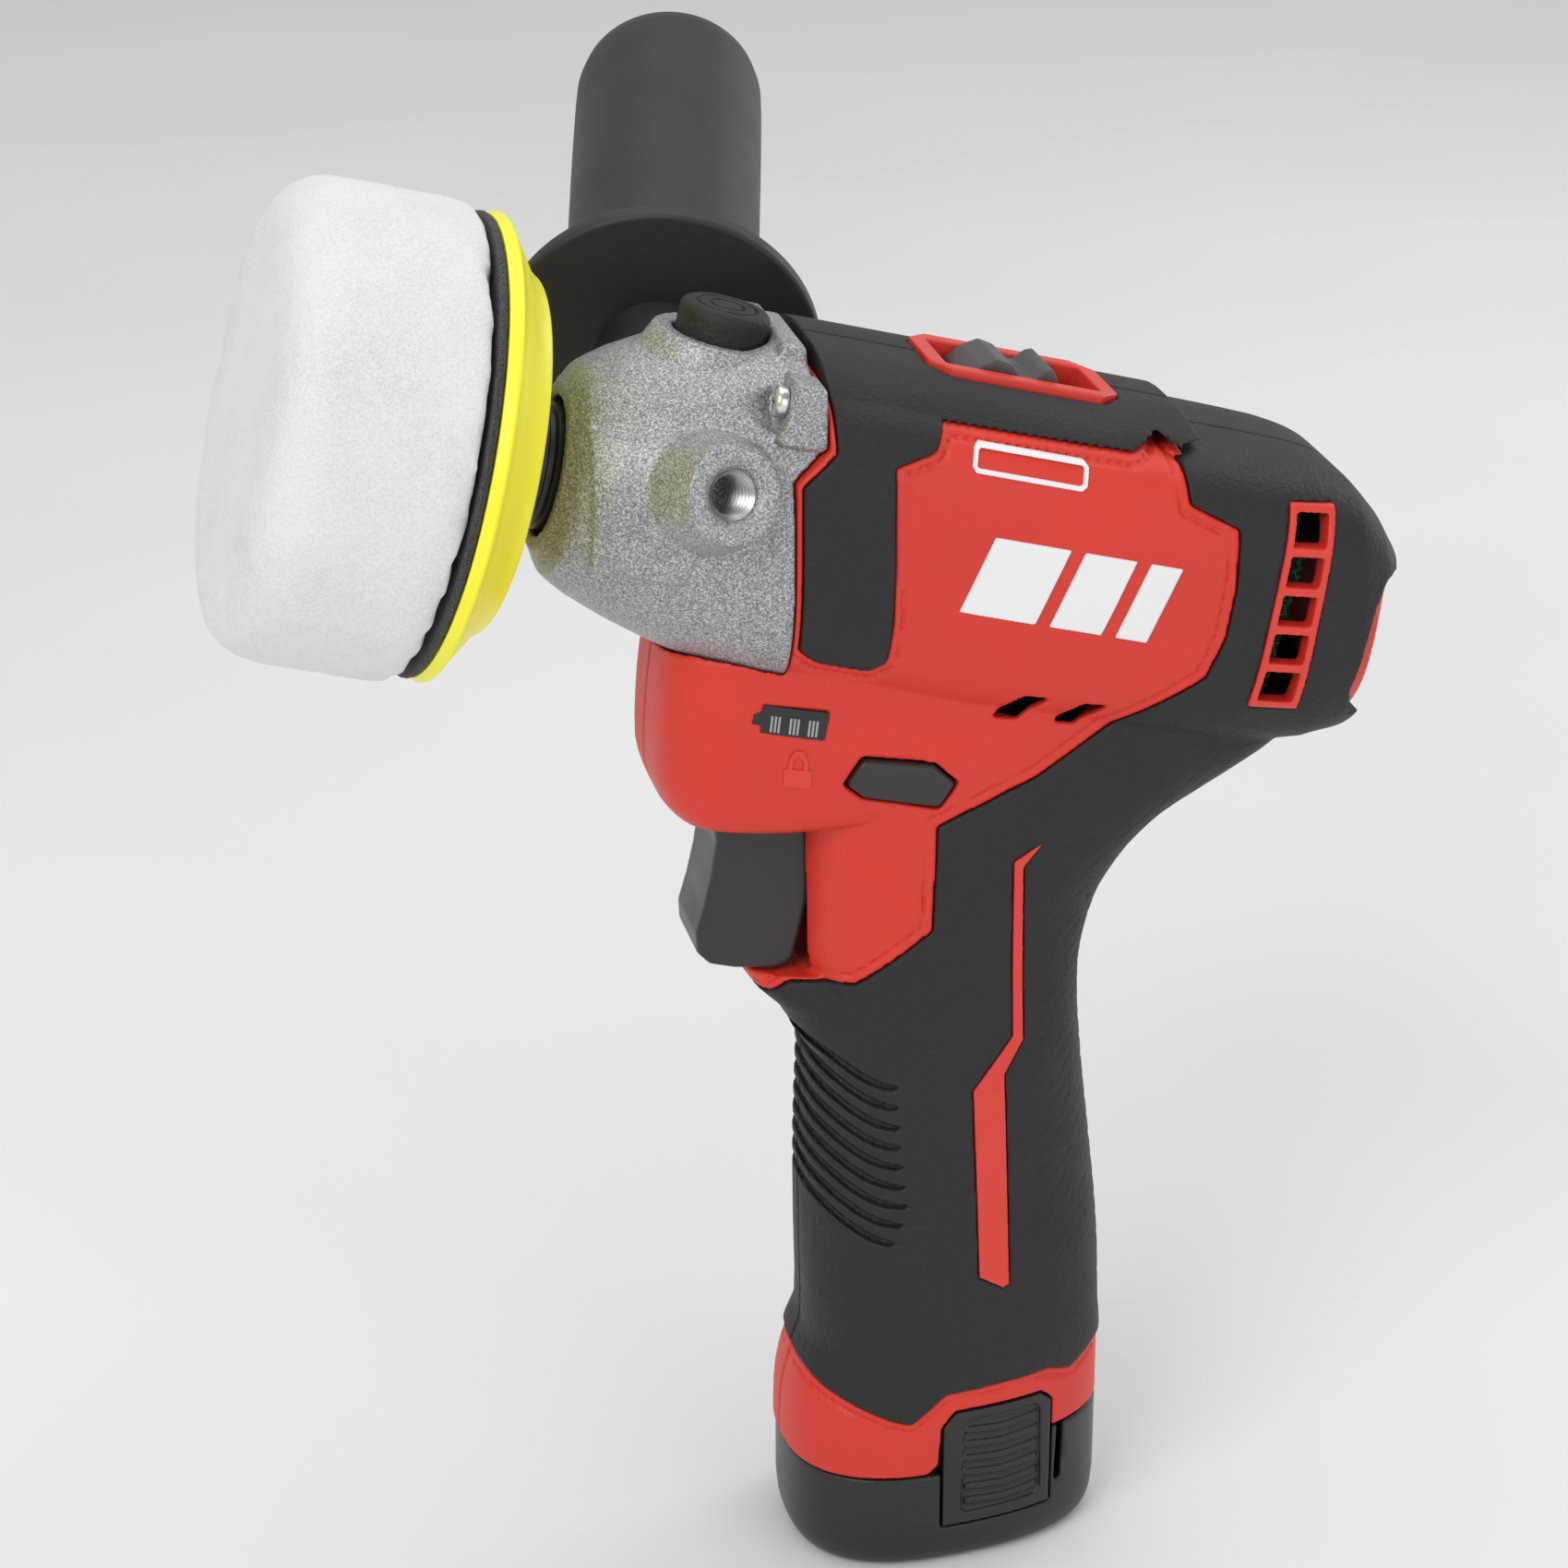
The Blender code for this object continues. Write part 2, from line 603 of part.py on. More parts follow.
def make_housing():
    outer_mould = housing_form("form_proud", MOULD_PROUD)
    inner_mould = housing_form("form_mould_back", -MOULD_DEPTH)
    recess_floor = housing_form("form_recess", -MOULD_DEPTH - FIT)
    beyond = housing_form("form_beyond", 7.0)
    outer = housing_form("form", 0.0)

    recesses = []
    for key, region in (("band", BAND_REGION), ("grip", GRIP_REGION)):
        recess = prism(key + "_recess", grown(region, FIT))
        boolean(recess, beyond, "INTERSECT")
        boolean(recess, recess_floor, "DIFFERENCE")
        recesses.append(recess)

    hollow = add_object("hollow", barrel_form("hollow", -WALL, front=HOUSING_FRONT - 6))
    tower_room = add_object("tower_room", loft_mesh("tower_room", [
        tower_ring(z, TOWER_GAP) for z in (10, TOWER_TOP + 1.0)]))
    switch_room = add_object("switch_room", loft_mesh("switch_room", [
        level_ring(z, -21.5, 18.6, 14.4, 3.0) for z in (TOWER_TOP - 1, 165)]))
    block_room = add_object("block_room", block_form("block_room", -WALL))
    boolean(hollow, [tower_room, switch_room, block_room], "UNION")

    front_cut = prism("front_cut", [
        (-FAR, RIM_STEP_HEIGHT), (HOUSING_TOP_FRONT, RIM_STEP_HEIGHT), (HOUSING_TOP_FRONT, 260), (-FAR, 260)])
    head_room = barrel_cutter("head_room", loft_mesh("head_room", head_rings(0.35, NOSE_X - 6)))
    behind_head = prism("behind_head", [
        (HOUSING_FRONT - HALF_GAP, 100), (HOUSING_FRONT - HALF_GAP, 260), (FAR, 260), (FAR, 100)])
    boolean(head_room, behind_head, "DIFFERENCE")
    collar_cut = prism("collar_cut", COLLAR_CUT)
    slot_side = TRIGGER_HALF_WIDTH + RUNNING
    trigger_slot = add_object("trigger_slot", box_mesh(
        "trigger_slot", (-43.6, -slot_side, 115.1), (-17, slot_side, 145.2)))
    lock_off_hole = prism("lock_off_hole", grown(LOCK_OFF_OUTLINE, RUNNING))
    gauge_pocket = prism("gauge_pocket", grown(GAUGE_OUTLINE, FIT), -FAR / 2, -BLOCK_HALF_WIDTH - 0.05)
    vents = side_vents() + rear_vents()
    window = barrel_cutter("window", box_mesh(
        "window", (WINDOW_START, -WINDOW_HALF_WIDTH, 16), (WINDOW_END, WINDOW_HALF_WIDTH, 40)))
    rail = barrel_cutter("selector_rail", box_mesh(
        "selector_rail", (WINDOW_START - 4, -WINDOW_HALF_WIDTH - RAIL_OVERHANG, SELECTOR_FLOOR - FIT),
        (WINDOW_END + 6, WINDOW_HALF_WIDTH + RAIL_OVERHANG, SELECTOR_FLOOR + SELECTOR_PLATE + 0.7)))
    fork_room = barrel_cutter("fork_room", box_mesh(
        "fork_room", (17, -5.5, 16), (WINDOW_END - 10, 5.5, SELECTOR_FLOOR + 0.5)))

    openings = [front_cut, head_room, collar_cut, trigger_slot, lock_off_hole, window, rail, fork_room]
    openings += vents
    for side, word in ((-1, "left"), (1, "right")):
        shell = half_space("housing_" + word, side)
        dress(shell, "red")
        boolean(shell, outer, "INTERSECT")
        boolean(shell, hollow, "DIFFERENCE")
        boolean(shell, recesses + openings, "DIFFERENCE")
        if side < 0:
            boolean(shell, gauge_pocket, "DIFFERENCE")
        else:
            boolean(shell, screw_holes(), "DIFFERENCE")

    raised = add_object("saddle_form", barrel_form("saddle_form", 0.0, SADDLE_TOP, 3.0))
    frame_hole = barrel_cutter("frame_hole", flat_barrel(
        "frame_hole", grown(frame_outline(), FIT), SELECTOR_FLOOR - 8, 40))
    for side, word in ((-1, "left"), (1, "right")):
        low, high = sorted((side * HALF_GAP, side * FAR / 2))
        band = prism("band_overmould_" + word, BAND_REGION, low, high)
        dress(band, "black_soft")
        both = add_object("saddle_joined_" + word, barrel_form("saddle_joined_" + word, MOULD_PROUD))
        boolean(both, raised, "UNION")
        boolean(band, both, "INTERSECT")
        boolean(band, inner_mould, "DIFFERENCE")
        boolean(band, [frame_hole, fork_room, rail], "DIFFERENCE")
        grip = prism("grip_overmould_" + word, GRIP_REGION, low, high)
        dress(grip, "black_soft")
        boolean(grip, outer_mould, "INTERSECT")
        boolean(grip, inner_mould, "DIFFERENCE")
        boolean(grip, vents + [collar_cut], "DIFFERENCE")

    frame = add_object("selector_window_frame", flat_barrel(
        "selector_window_frame", frame_outline(), HOUSING_TOP - 0.6, SADDLE_TOP + 0.6), "red", BARREL)
    boolean(frame, window, "DIFFERENCE")
    boolean(frame, add_object("frame_seat", barrel_form("frame_seat", FIT)), "DIFFERENCE")


def dress(obj, color):
    """Turns a cutter made by prism() into a part."""
    CUTTERS.objects.unlink(obj)
    PARTS.objects.link(obj)
    obj.hide_render = False
    obj.display_type = "TEXTURED"
    obj.data.materials.append(material(color))


def flat_barrel(name, outline, low, high):
    """An (x, y) outline of the barrel frame, extruded from one height to another."""
    mesh = flat_mesh(name, [outline], high - low)
    mesh.transform(Matrix.Translation((0, 0, (low + high) / 2 * MM)))
    return mesh


def frame_outline():
    """The octagonal frame round the selector window."""
    x0, x1 = WINDOW_START - FRAME_WIDTH, WINDOW_END + FRAME_WIDTH
    y = WINDOW_HALF_WIDTH + FRAME_WIDTH
    cut = FRAME_CORNER
    return [(x0, -y + cut), (x0 + cut, -y), (x1 - cut, -y), (x1, -y + cut),
            (x1, y - cut), (x1 - cut, y), (x0 + cut, y), (x0, y - cut)]


def side_vents():
    """Two slanted slots through each side, under the barrel."""
    made = []
    for i, (start, end) in enumerate(VENT_SLOTS):
        foot = 162.8 - i * 1.6
        outline = [(start, foot), (end, foot - 0.5), (end + 4.9, foot + 3.8), (start + 4.9, foot + 4.4)]
        made.append(prism("side_vent_%d" % (i + 1), outline))
    return made


def rear_vents():
    """Slots one above another through the rear of both sides."""
    made = []
    for i in range(REAR_VENT_COUNT):
        low = 165.3 + i * 6.2
        x = 47.6 + i * 1.25
        outline = [(x, low), (x + 4.2, low - 0.4), (x + 4.9, low + 3.9), (x + 0.7, low + 4.3)]
        made.append(prism("rear_vent_%d" % (i + 1), outline))
    return made


def tower_ring(z, grow):
    return level_ring(z, -20.9 - grow, 19.0 + grow, 15.6 + grow, 2.6, 0.1)


def head_rings(grow, start):
    """Sections of the gear head across the spindle, in the barrel frame."""
    stations = [
        # x, half width, top, bottom, power
        (NOSE_X, NOSE_RADIUS, NOSE_RADIUS, NOSE_RADIUS, 2.0),
        (NOSE_X + 2.6, 17.6, 17.6, 17.4, 2.0),
        (NOSE_X + 7.0, 20.4, 20.8, 19.9, 2.0),
        (NOSE_X + 13.5, 22.9, 24.2, 22.4, 2.0),
        (NOSE_X + 21.0, 24.7, 26.6, 24.6, 2.1),
        (NOSE_X + 29.0, 25.9, 27.8, 26.2, 2.3),
        (NOSE_X + 38.0, 26.5, 28.6, 27.0, 2.6),
        (40.0, 26.7, 29.0, 27.2, 2.9),
    ]
    rings = []
    if start < NOSE_X:
        rings.append(barrel_ring(start, NOSE_RADIUS + grow, NOSE_RADIUS + grow, NOSE_RADIUS + grow, 2.0))
    for x, width, top, bottom, power in stations:
        rings.append(barrel_ring(x, width + grow, top + grow, bottom + grow, power))
    return rings


def barrel_ring(x, half_width, top, bottom, power, count=36):
    points = []
    for i in range(count):
        angle = 2 * math.pi * i / count
        y, z = rounded(angle, half_width, top if math.sin(angle) >= 0 else bottom, power)
        points.append((x, y, z))
    return points


def screw_positions():
    """Clamshell screws on the right side: world x, world z and how far out their heads sit."""
    return [(-45.5, 166.0, 18.2), (-14.0, 134.0, 17.0), (20.0, 190.0, 25.0)]


def screw_holes():
    made = []
    for i, (x, z, y) in enumerate(screw_positions()):
        hole = add_object("screw_hole_%d" % (i + 1), rod_mesh(
            "screw_hole_%d" % (i + 1), 2.9, -0.4, 20, sides=16), None, None, (x, y, z), (-math.pi / 2, 0, 0))
        made.append(hole)
    return made


def make_gear_head():
    head = add_object("gear_head", loft_mesh("gear_head", head_rings(0, NOSE_X)), "silver", BARREL)
    rim = prism("head_rear_cut", [
        (HOUSING_FRONT - FIT, 100), (HOUSING_FRONT - FIT, RIM_STEP_HEIGHT + FIT),
        (HOUSING_TOP_FRONT - FIT, RIM_STEP_HEIGHT + FIT), (HOUSING_TOP_FRONT - FIT, 300),
        (FAR, 300), (FAR, 100)])
    for side, empty in ((-1, LEFT_BOSS), (1, RIGHT_BOSS)):
        word = "left" if side < 0 else "right"
        cone = rod_mesh(
            "boss_" + word, BOSS_FOOT_RADIUS, 18, BOSS_FACE, sides=28, end_radius=BOSS_FACE_RADIUS)
        boss = add_object("boss_" + word, cone, None, empty)
        boolean(head, boss, "UNION")
    seat = barrel_cutter("button_seat", rod_mesh(
        "button_seat", BUTTON_RADIUS + 3.4, 14, SEAT_TOP, (BUTTON_X, 0), 28))
    hump = barrel_cutter("seat_hump", box_mesh(
        "seat_hump", (BUTTON_X + 7.3, -10.4, 18), (40, 10.4, SADDLE_TOP - 0.4)))
    lugs = [barrel_cutter("screw_lug_%d" % (i + 1), box_mesh(
        "screw_lug_%d" % (i + 1), (11.0, 20.3 * s - 4.2, 16.5), (40, 20.3 * s + 4.2, 26.8)))
        for i, s in enumerate((-1, 1))]
    boolean(head, [seat, hump] + lugs, "UNION")
    scoops = [barrel_cutter("screw_scoop_%d" % (i + 1), box_mesh(
        "screw_scoop_%d" % (i + 1), (-6.0, 22.0 * s - 6.2, 19.6), (11.9, 22.0 * s + 6.2, 45)))
        for i, s in enumerate((-1, 1))]
    boolean(head, scoops, "DIFFERENCE")
    bearing_room = FRONT_BEARING_RADIUS + FIT
    steps = [
        # x, radius
        (NOSE_X - 2, HUB_RADIUS + 1.0), (HUB_BACK + 1.2, HUB_RADIUS + 1.0), (HUB_BACK + 1.3, bearing_room),
        (-7.6, bearing_room), (-7.5, 14.6), (-3.0, 18.0), (14.0, 20.4), (15.4, 22.0), (60.0, 22.2),
    ]
    bore = barrel_cutter("head_bore", loft_mesh("head_bore", [
        barrel_ring(x, radius, radius, radius, 2.0) for x, radius in steps]))
    button_hole = barrel_cutter("button_hole", rod_mesh(
        "button_hole", BUTTON_RADIUS + RUNNING, SEAT_FLOOR, 45, (BUTTON_X, 0), 28))
    pin_hole = barrel_cutter("pin_hole", rod_mesh(
        "pin_hole", LOCK_PIN_RADIUS + RUNNING, 10, 30, (BUTTON_X, 0), 14))
    screw_bores = [barrel_cutter("head_screw_bore_%d" % (i + 1), rod_mesh(
        "head_screw_bore_%d" % (i + 1), 1.7, 8, 60, sides=12), ALONG, (0, 20.3 * s, 22.6))
        for i, s in enumerate((-1, 1))]
    boolean(head, [rim, bore, button_hole, pin_hole] + screw_bores, "DIFFERENCE")
    for side, empty in ((-1, LEFT_BOSS), (1, RIGHT_BOSS)):
        word = "left" if side < 0 else "right"
        hole = add_object("thread_hole_" + word, rod_mesh(
            "thread_hole_" + word, BOSS_THREAD_RADIUS, BOSS_FACE - BOSS_DEPTH, 60, sides=24), None, empty)
        boolean(head, hole, "DIFFERENCE")


def make_head_screws():
    for word, side in (("left", -1), ("right", 1)):
        turned("head_screw_" + word, [(0, 9.6), (2.2, 9.6), (2.6, 10.4), (2.6, 11.7), (1.35, 11.7),
                                      (1.35, 17.2), (0, 17.2)][::-1],
               "dark_steel", BARREL, (0, 20.3 * side, 22.6), ALONG, 12, closed=False)


def make_lock_button():
    turned("spindle_lock_button", [
        (0, BUTTON_TOP), (BUTTON_RADIUS - 1.2, BUTTON_TOP), (BUTTON_RADIUS, BUTTON_TOP - 1.0),
        (BUTTON_RADIUS, BUTTON_TOP - BUTTON_HEIGHT), (BUTTON_RADIUS - 1.3, BUTTON_TOP - BUTTON_HEIGHT),
        (BUTTON_RADIUS - 1.3, BUTTON_TOP - 1.8), (0, BUTTON_TOP - 1.8)],
        "black_hard", BARREL, (BUTTON_X, 0, 0), closed=False)
    pin_top = BUTTON_TOP - 1.8 - FIT
    turned("lock_pin", [
        (0, pin_top), (LOCK_PIN_RADIUS, pin_top), (LOCK_PIN_RADIUS, LOCK_PIN_TIP + 0.6),
        (LOCK_PIN_RADIUS - 0.6, LOCK_PIN_TIP), (0, LOCK_PIN_TIP)],
        "steel", BARREL, (BUTTON_X, 0, 0), steps=14, closed=False)
    spring("lock_spring", 4.6, 0.7, SEAT_FLOOR + 0.7, BUTTON_TOP - 2.6, 4, "steel", BARREL, (BUTTON_X, 0, 0))


def make_spindle():
    turned("spindle", [
        (0, HUB_BACK + FIT), (SPINDLE_RADIUS - 0.5, HUB_BACK + FIT), (SPINDLE_RADIUS, HUB_BACK + FIT + 0.5),
        (SPINDLE_RADIUS, 16.2), (0, 16.2)][::-1], "steel", BARREL, turn=ALONG, steps=24, closed=False)
    inner = SPINDLE_RADIUS + FIT
    ring("front_bearing", FRONT_BEARING_RADIUS, inner, -14.2, -8.0, "steel", BARREL, turn=ALONG)
    notches = []
    count = 6
    for i in range(count):
        middle = 2 * math.pi * i / count
        half = math.asin((LOCK_PIN_RADIUS + 0.5) / LOCK_DISK_RADIUS)
        for angle, radius in ((middle - half, LOCK_DISK_RADIUS), (middle - half * 1.2, 10.8),
                              (middle + half * 1.2, 10.8), (middle + half, LOCK_DISK_RADIUS)):
            notches.append((radius * math.cos(angle), radius * math.sin(angle)))
        rest = 2 * math.pi / count - 2 * half
        for step in range(1, 4):
            angle = middle + half + rest * step / 4
            notches.append((LOCK_DISK_RADIUS * math.cos(angle), LOCK_DISK_RADIUS * math.sin(angle)))
    mesh = flat_mesh("lock_disk", [notches, circle(SPINDLE_RADIUS + FIT, 24)], 4.4)
    add_object("lock_disk", mesh, "dark_steel", BARREL, (BUTTON_X, 0, 0), ALONG)
    ring("rear_spindle_bearing", 10.6, SPINDLE_RADIUS + FIT, 7.6, 11.4, "steel", BARREL, turn=ALONG)
    ring("bearing_plate", 19.0, 10.6 + FIT, 7.6, 11.0, "silver", BARREL, turn=ALONG, steps=32)

    pin_end = GEAR_FRONT + GEAR_WIDTH + 0.4 - CARRIER_X
    disk = add_object("planet_carrier", flat_mesh(
        "planet_carrier", [circle(CARRIER_RADIUS, 30), circle(SPINDLE_RADIUS + FIT, 24)], 3.4),
        "steel", BARREL, (CARRIER_X, 0, 0), ALONG)
    for i in range(PLANET_COUNT):
        x, y = planet_center(i)
        rod = rod_mesh("planet_pin_%d" % (i + 1), PLANET_PIN_RADIUS, -0.5, pin_end, (x, y), 14)
        pin = add_object("planet_pin_%d" % (i + 1), rod, None, BARREL, (CARRIER_X, 0, 0), ALONG)
        boolean(disk, pin, "UNION")


def planet_center(i):
    """In the turned frame of ALONG, where local x points down and local y is the world's y."""
    reach = GEAR_MODULE * (SUN_TEETH + PLANET_TEETH) / 2
    angle = 2 * math.pi * i / PLANET_COUNT
    return reach * math.cos(angle), reach * math.sin(angle)


def gear_outline(teeth, phase, inside=False):
    """Straight-flanked teeth, four points each. phase is the angle of a tooth's middle."""
    pitch = GEAR_MODULE * teeth / 2
    if inside:
        tip, root = pitch - 0.72 * GEAR_MODULE, pitch + 1.15 * GEAR_MODULE
        tip_share, root_share = 0.17, 0.36
    else:
        tip, root = pitch + 0.78 * GEAR_MODULE, pitch - 1.2 * GEAR_MODULE
        tip_share, root_share = 0.15, 0.36
    points = []
    step = 2 * math.pi / teeth
    for i in range(teeth):
        middle = phase + i * step
        for angle, radius in ((-root_share, root), (-tip_share, tip), (tip_share, tip), (root_share, root)):
            turn = middle + angle * step
            points.append((radius * math.cos(turn), radius * math.sin(turn)))
    return points


def make_gears():
    middle = GEAR_FRONT + GEAR_WIDTH / 2
    sun = flat_mesh("sun_pinion", [gear_outline(SUN_TEETH, 0.0), circle(SHAFT_RADIUS + FIT, 16)], GEAR_WIDTH)
    add_object("sun_pinion", sun, "steel", BARREL, (middle, 0, 0), ALONG)
    outer = circle(RING_OUTER_RADIUS, 48)
    teeth = flat_mesh("ring_gear", [outer, gear_outline(RING_TEETH, ring_phase(), True)], GEAR_WIDTH)
    add_object("ring_gear", teeth, "dark_steel", BARREL, (middle, 0, 0), ALONG)
    for i in range(PLANET_COUNT):
        name = "planet_gear_%d" % (i + 1)
        mesh = flat_mesh(name, [gear_outline(PLANET_TEETH, planet_phase(i)),
                                circle(PLANET_PIN_RADIUS + FIT, 14)], GEAR_WIDTH - 1.0)
        x, y = planet_center(i)
        # local (x, y) of the turned frame lies at side y and height -x of the barrel
        add_object(name, mesh, "steel", BARREL, (middle, y, -x), ALONG)


def planet_phase(i):
    """A gap of the planet faces the sun's tooth on the line of centres."""
    around = 2 * math.pi * i / PLANET_COUNT
    toward_sun = around + math.pi
    # the sun has a tooth's middle at every whole step from angle 0
    sun_step = 2 * math.pi / SUN_TEETH
    sun_offset = (around / sun_step) % 1.0
    planet_step = 2 * math.pi / PLANET_TEETH
    return toward_sun + planet_step * (0.5 + sun_offset)


def ring_phase():
    """A gap of the ring faces a tooth of the first planet on its far side."""
    planet_step = 2 * math.pi / PLANET_TEETH
    offset = ((0.0 - planet_phase(0)) / planet_step) % 1.0
    return 2 * math.pi / RING_TEETH * (0.5 - offset)


def make_motor():
    front, back = MOTOR_FRONT, MOTOR_FRONT + MOTOR_LENGTH
    ring("motor_stator", STATOR_RADIUS, 16.0, front, back, "dark_steel", BARREL, turn=ALONG, steps=36)
    ring("motor_windings", 15.7, ROTOR_RADIUS + 0.7, front - 3.5, back + 3.5,
         "copper", BARREL, turn=ALONG, steps=30)
    ring("motor_rotor", ROTOR_RADIUS, SHAFT_RADIUS + FIT, front, back,
         "dark_steel", BARREL, turn=ALONG, steps=24)
    shaft_front, shaft_back = GEAR_FRONT - FIT, 104.0
    turned("motor_shaft", [
        (0, shaft_back), (SHAFT_RADIUS, shaft_back), (SHAFT_RADIUS, shaft_front), (0, shaft_front)],
           "steel", BARREL, turn=ALONG, steps=16, closed=False)
    ring("motor_front_bearing", 7.0, SHAFT_RADIUS + FIT, 31.0, 35.0, "steel", BARREL, turn=ALONG, steps=24)
    ring("motor_front_plate", 21.4, 7.0 + FIT, 30.6, 34.4, "silver", BARREL, turn=ALONG, steps=32)
    ring("motor_rear_bearing", 7.0, SHAFT_RADIUS + FIT, 98.0, 102.0, "steel", BARREL, turn=ALONG, steps=24)
    ring("motor_rear_plate", 18.0, 7.0 + FIT, 97.6, 102.4, "black_hard", BARREL, turn=ALONG, steps=32)
    blades = []
    count = 9
    for i in range(count):
        start = 2 * math.pi * i / count
        for radius, share in ((7.0, 0.0), (FAN_RADIUS, 0.12), (FAN_RADIUS, 0.34), (8.0, 0.45), (7.0, 0.7)):
            angle = start + share * 2 * math.pi / count
            blades.append((radius * math.cos(angle), radius * math.sin(angle)))
    mesh = flat_mesh("cooling_fan", [blades, circle(SHAFT_RADIUS + FIT, 16)], 5.0)
    add_object("cooling_fan", mesh, "grey_plastic", BARREL, (FAN_X + 3.0, 0, 0), ALONG)
    add_object("controller_board", box_mesh(
        "controller_board", (105.5, -15, -13), (107.1, 15, 13)), "board_green", BARREL)


def make_hub_and_pad():
    axis = (0, ORBIT_OFFSET, 0)
    hub = add_object("eccentric_hub", rod_mesh("eccentric_hub", HUB_RADIUS, HUB_FRONT, HUB_BACK, sides=32),
                     "black_hard", BARREL, turn=ALONG)
    pocket = barrel_cutter("hub_pocket", rod_mesh("hub_pocket", 7.0, HUB_FRONT - 5, HUB_BACK - 2.0, sides=28),
                           ALONG, axis)
    boolean(hub, pocket, "DIFFERENCE")
    ring("pad_bearing", 6.7, PAD_STUD_RADIUS + RUNNING, HUB_FRONT + 0.4, HUB_BACK - 2.4,
         "steel", BARREL, axis, ALONG, 24)
    turned("pad_stud", [
        (0, STUD_FRONT), (STUD_HEAD_RADIUS, STUD_FRONT), (STUD_HEAD_RADIUS, PLATE_BACK),
        (PAD_STUD_RADIUS, PLATE_BACK),
        (PAD_STUD_RADIUS, HUB_BACK - 2.8), (0, HUB_BACK - 2.8)][::-1],
        "steel", BARREL, axis, ALONG, 24, closed=False)
    turned("backing_plate", [
        (0, STUD_FRONT - FIT), (STUD_HEAD_RADIUS + FIT, STUD_FRONT - FIT),
        (STUD_HEAD_RADIUS + FIT, PLATE_BACK), (PLATE_BACK_RADIUS - 1.0, PLATE_BACK),
        (PLATE_BACK_RADIUS, PLATE_BACK - 0.8), (PLATE_RADIUS - 0.6, PLATE_FRONT + 3.0),
        (PLATE_RADIUS, PLATE_FRONT + 2.0), (PLATE_RADIUS, PLATE_FRONT), (0, PLATE_FRONT)],
        "yellow", BARREL, axis, ALONG, 48, closed=False)
    hook_front = PLATE_FRONT - FIT - HOOK_THICKNESS
    hook_back, hook_radius = PLATE_FRONT - FIT, PLATE_RADIUS + 0.4
    turned("hook_and_loop_layer", [
        (0, hook_back), (hook_radius, hook_back), (hook_radius, hook_front), (0, hook_front)],
        "hook_black", BARREL, axis, ALONG, 48, closed=False)
    pad_back = hook_front - FIT
    pad_front = pad_back - PAD_THICKNESS
    turned("foam_pad", [
        (0, pad_back), (PAD_RADIUS - 0.8, pad_back), (PAD_RADIUS + 0.4, pad_back - 6),
        (PAD_RADIUS + 0.3, pad_front + 12), (PAD_RADIUS - 1.0, pad_front + 6.5),
        (PAD_RADIUS - 4.6, pad_front + 1.8), (PAD_RADIUS - 9.0, pad_front), (0, pad_front)],
        "foam", BARREL, axis, ALONG, 48, closed=False)


def make_selector():
    knob = add_object("speed_selector", box_mesh(
        "speed_selector", (WINDOW_START - 2.2, -WINDOW_HALF_WIDTH - 0.2, SELECTOR_FLOOR),
        (WINDOW_END + 0.6, WINDOW_HALF_WIDTH + 0.2, SELECTOR_FLOOR + SELECTOR_PLATE)), "grey_plastic", BARREL)
    thumb = barrel_cutter("selector_thumb", side_prism_mesh("selector_thumb", [
        (WINDOW_START + 3.0, SELECTOR_FLOOR + 1.0), (WINDOW_START + 4.0, SELECTOR_FLOOR + 5.0),
        (WINDOW_START + 8.0, SELECTOR_FLOOR + 7.6), (WINDOW_START + 12.0, SELECTOR_FLOOR + 5.9),
        (WINDOW_START + 15.0, SELECTOR_FLOOR + 8.0), (WINDOW_START + 19.0, SELECTOR_FLOOR + 1.0)],
        -WINDOW_HALF_WIDTH + 0.5, WINDOW_HALF_WIDTH - 0.5))
    boolean(knob, thumb, "UNION")
    fork = barrel_cutter("selector_fork", box_mesh(
        "selector_fork", (20, -4, SELECTOR_FLOOR - 2.0), (WINDOW_START + 4, 4, SELECTOR_FLOOR - 0.9)))
    post = barrel_cutter("selector_post", box_mesh(
        "selector_post", (WINDOW_START + 1, -3, SELECTOR_FLOOR - 1.5),
        (WINDOW_START + 4, 3, SELECTOR_FLOOR + 0.5)))
    boolean(knob, [post, fork], "UNION")
    ring("speed_collar", 21.4, RING_OUTER_RADIUS + 0.4, 18.5, 23.5,
         "black_hard", BARREL, turn=ALONG, steps=36)


def make_trigger():
    trigger = add_object("trigger", side_prism_mesh(
        "trigger", TRIGGER_OUTLINE, -TRIGGER_HALF_WIDTH, TRIGGER_HALF_WIDTH), "grey_plastic")
    stem = add_object("trigger_stem", box_mesh("trigger_stem", (-30, -4, 126.5), (-19, 4, 133.5)))
    boolean(trigger, stem, "UNION")
    bevel = trigger.modifiers.new("Edges", "BEVEL")
    bevel.width = 1.6 * MM
    bevel.segments = 2
    bevel.limit_method = "ANGLE"
    bevel.angle_limit = math.radians(60)
    add_object("trigger_switch", box_mesh("trigger_switch", (-11.4, -7.5, 118), (8, 7.5, 141)), "black_hard")
    spring("trigger_spring", 3.0, 0.7, -18.2, -12.0, 4, "steel", None, (0, 0, 130.0), ALONG)
    reach = BLOCK_HALF_WIDTH + LOCK_OFF_PROUD
    add_object("lock_off_button", side_prism_mesh(
        "lock_off_button", LOCK_OFF_OUTLINE, -reach, reach), "grey_plastic")
    add_object("battery_gauge", side_prism_mesh(
        "battery_gauge", GAUGE_OUTLINE, -BLOCK_HALF_WIDTH - 1.4, -BLOCK_HALF_WIDTH - 0.5), "black_hard")


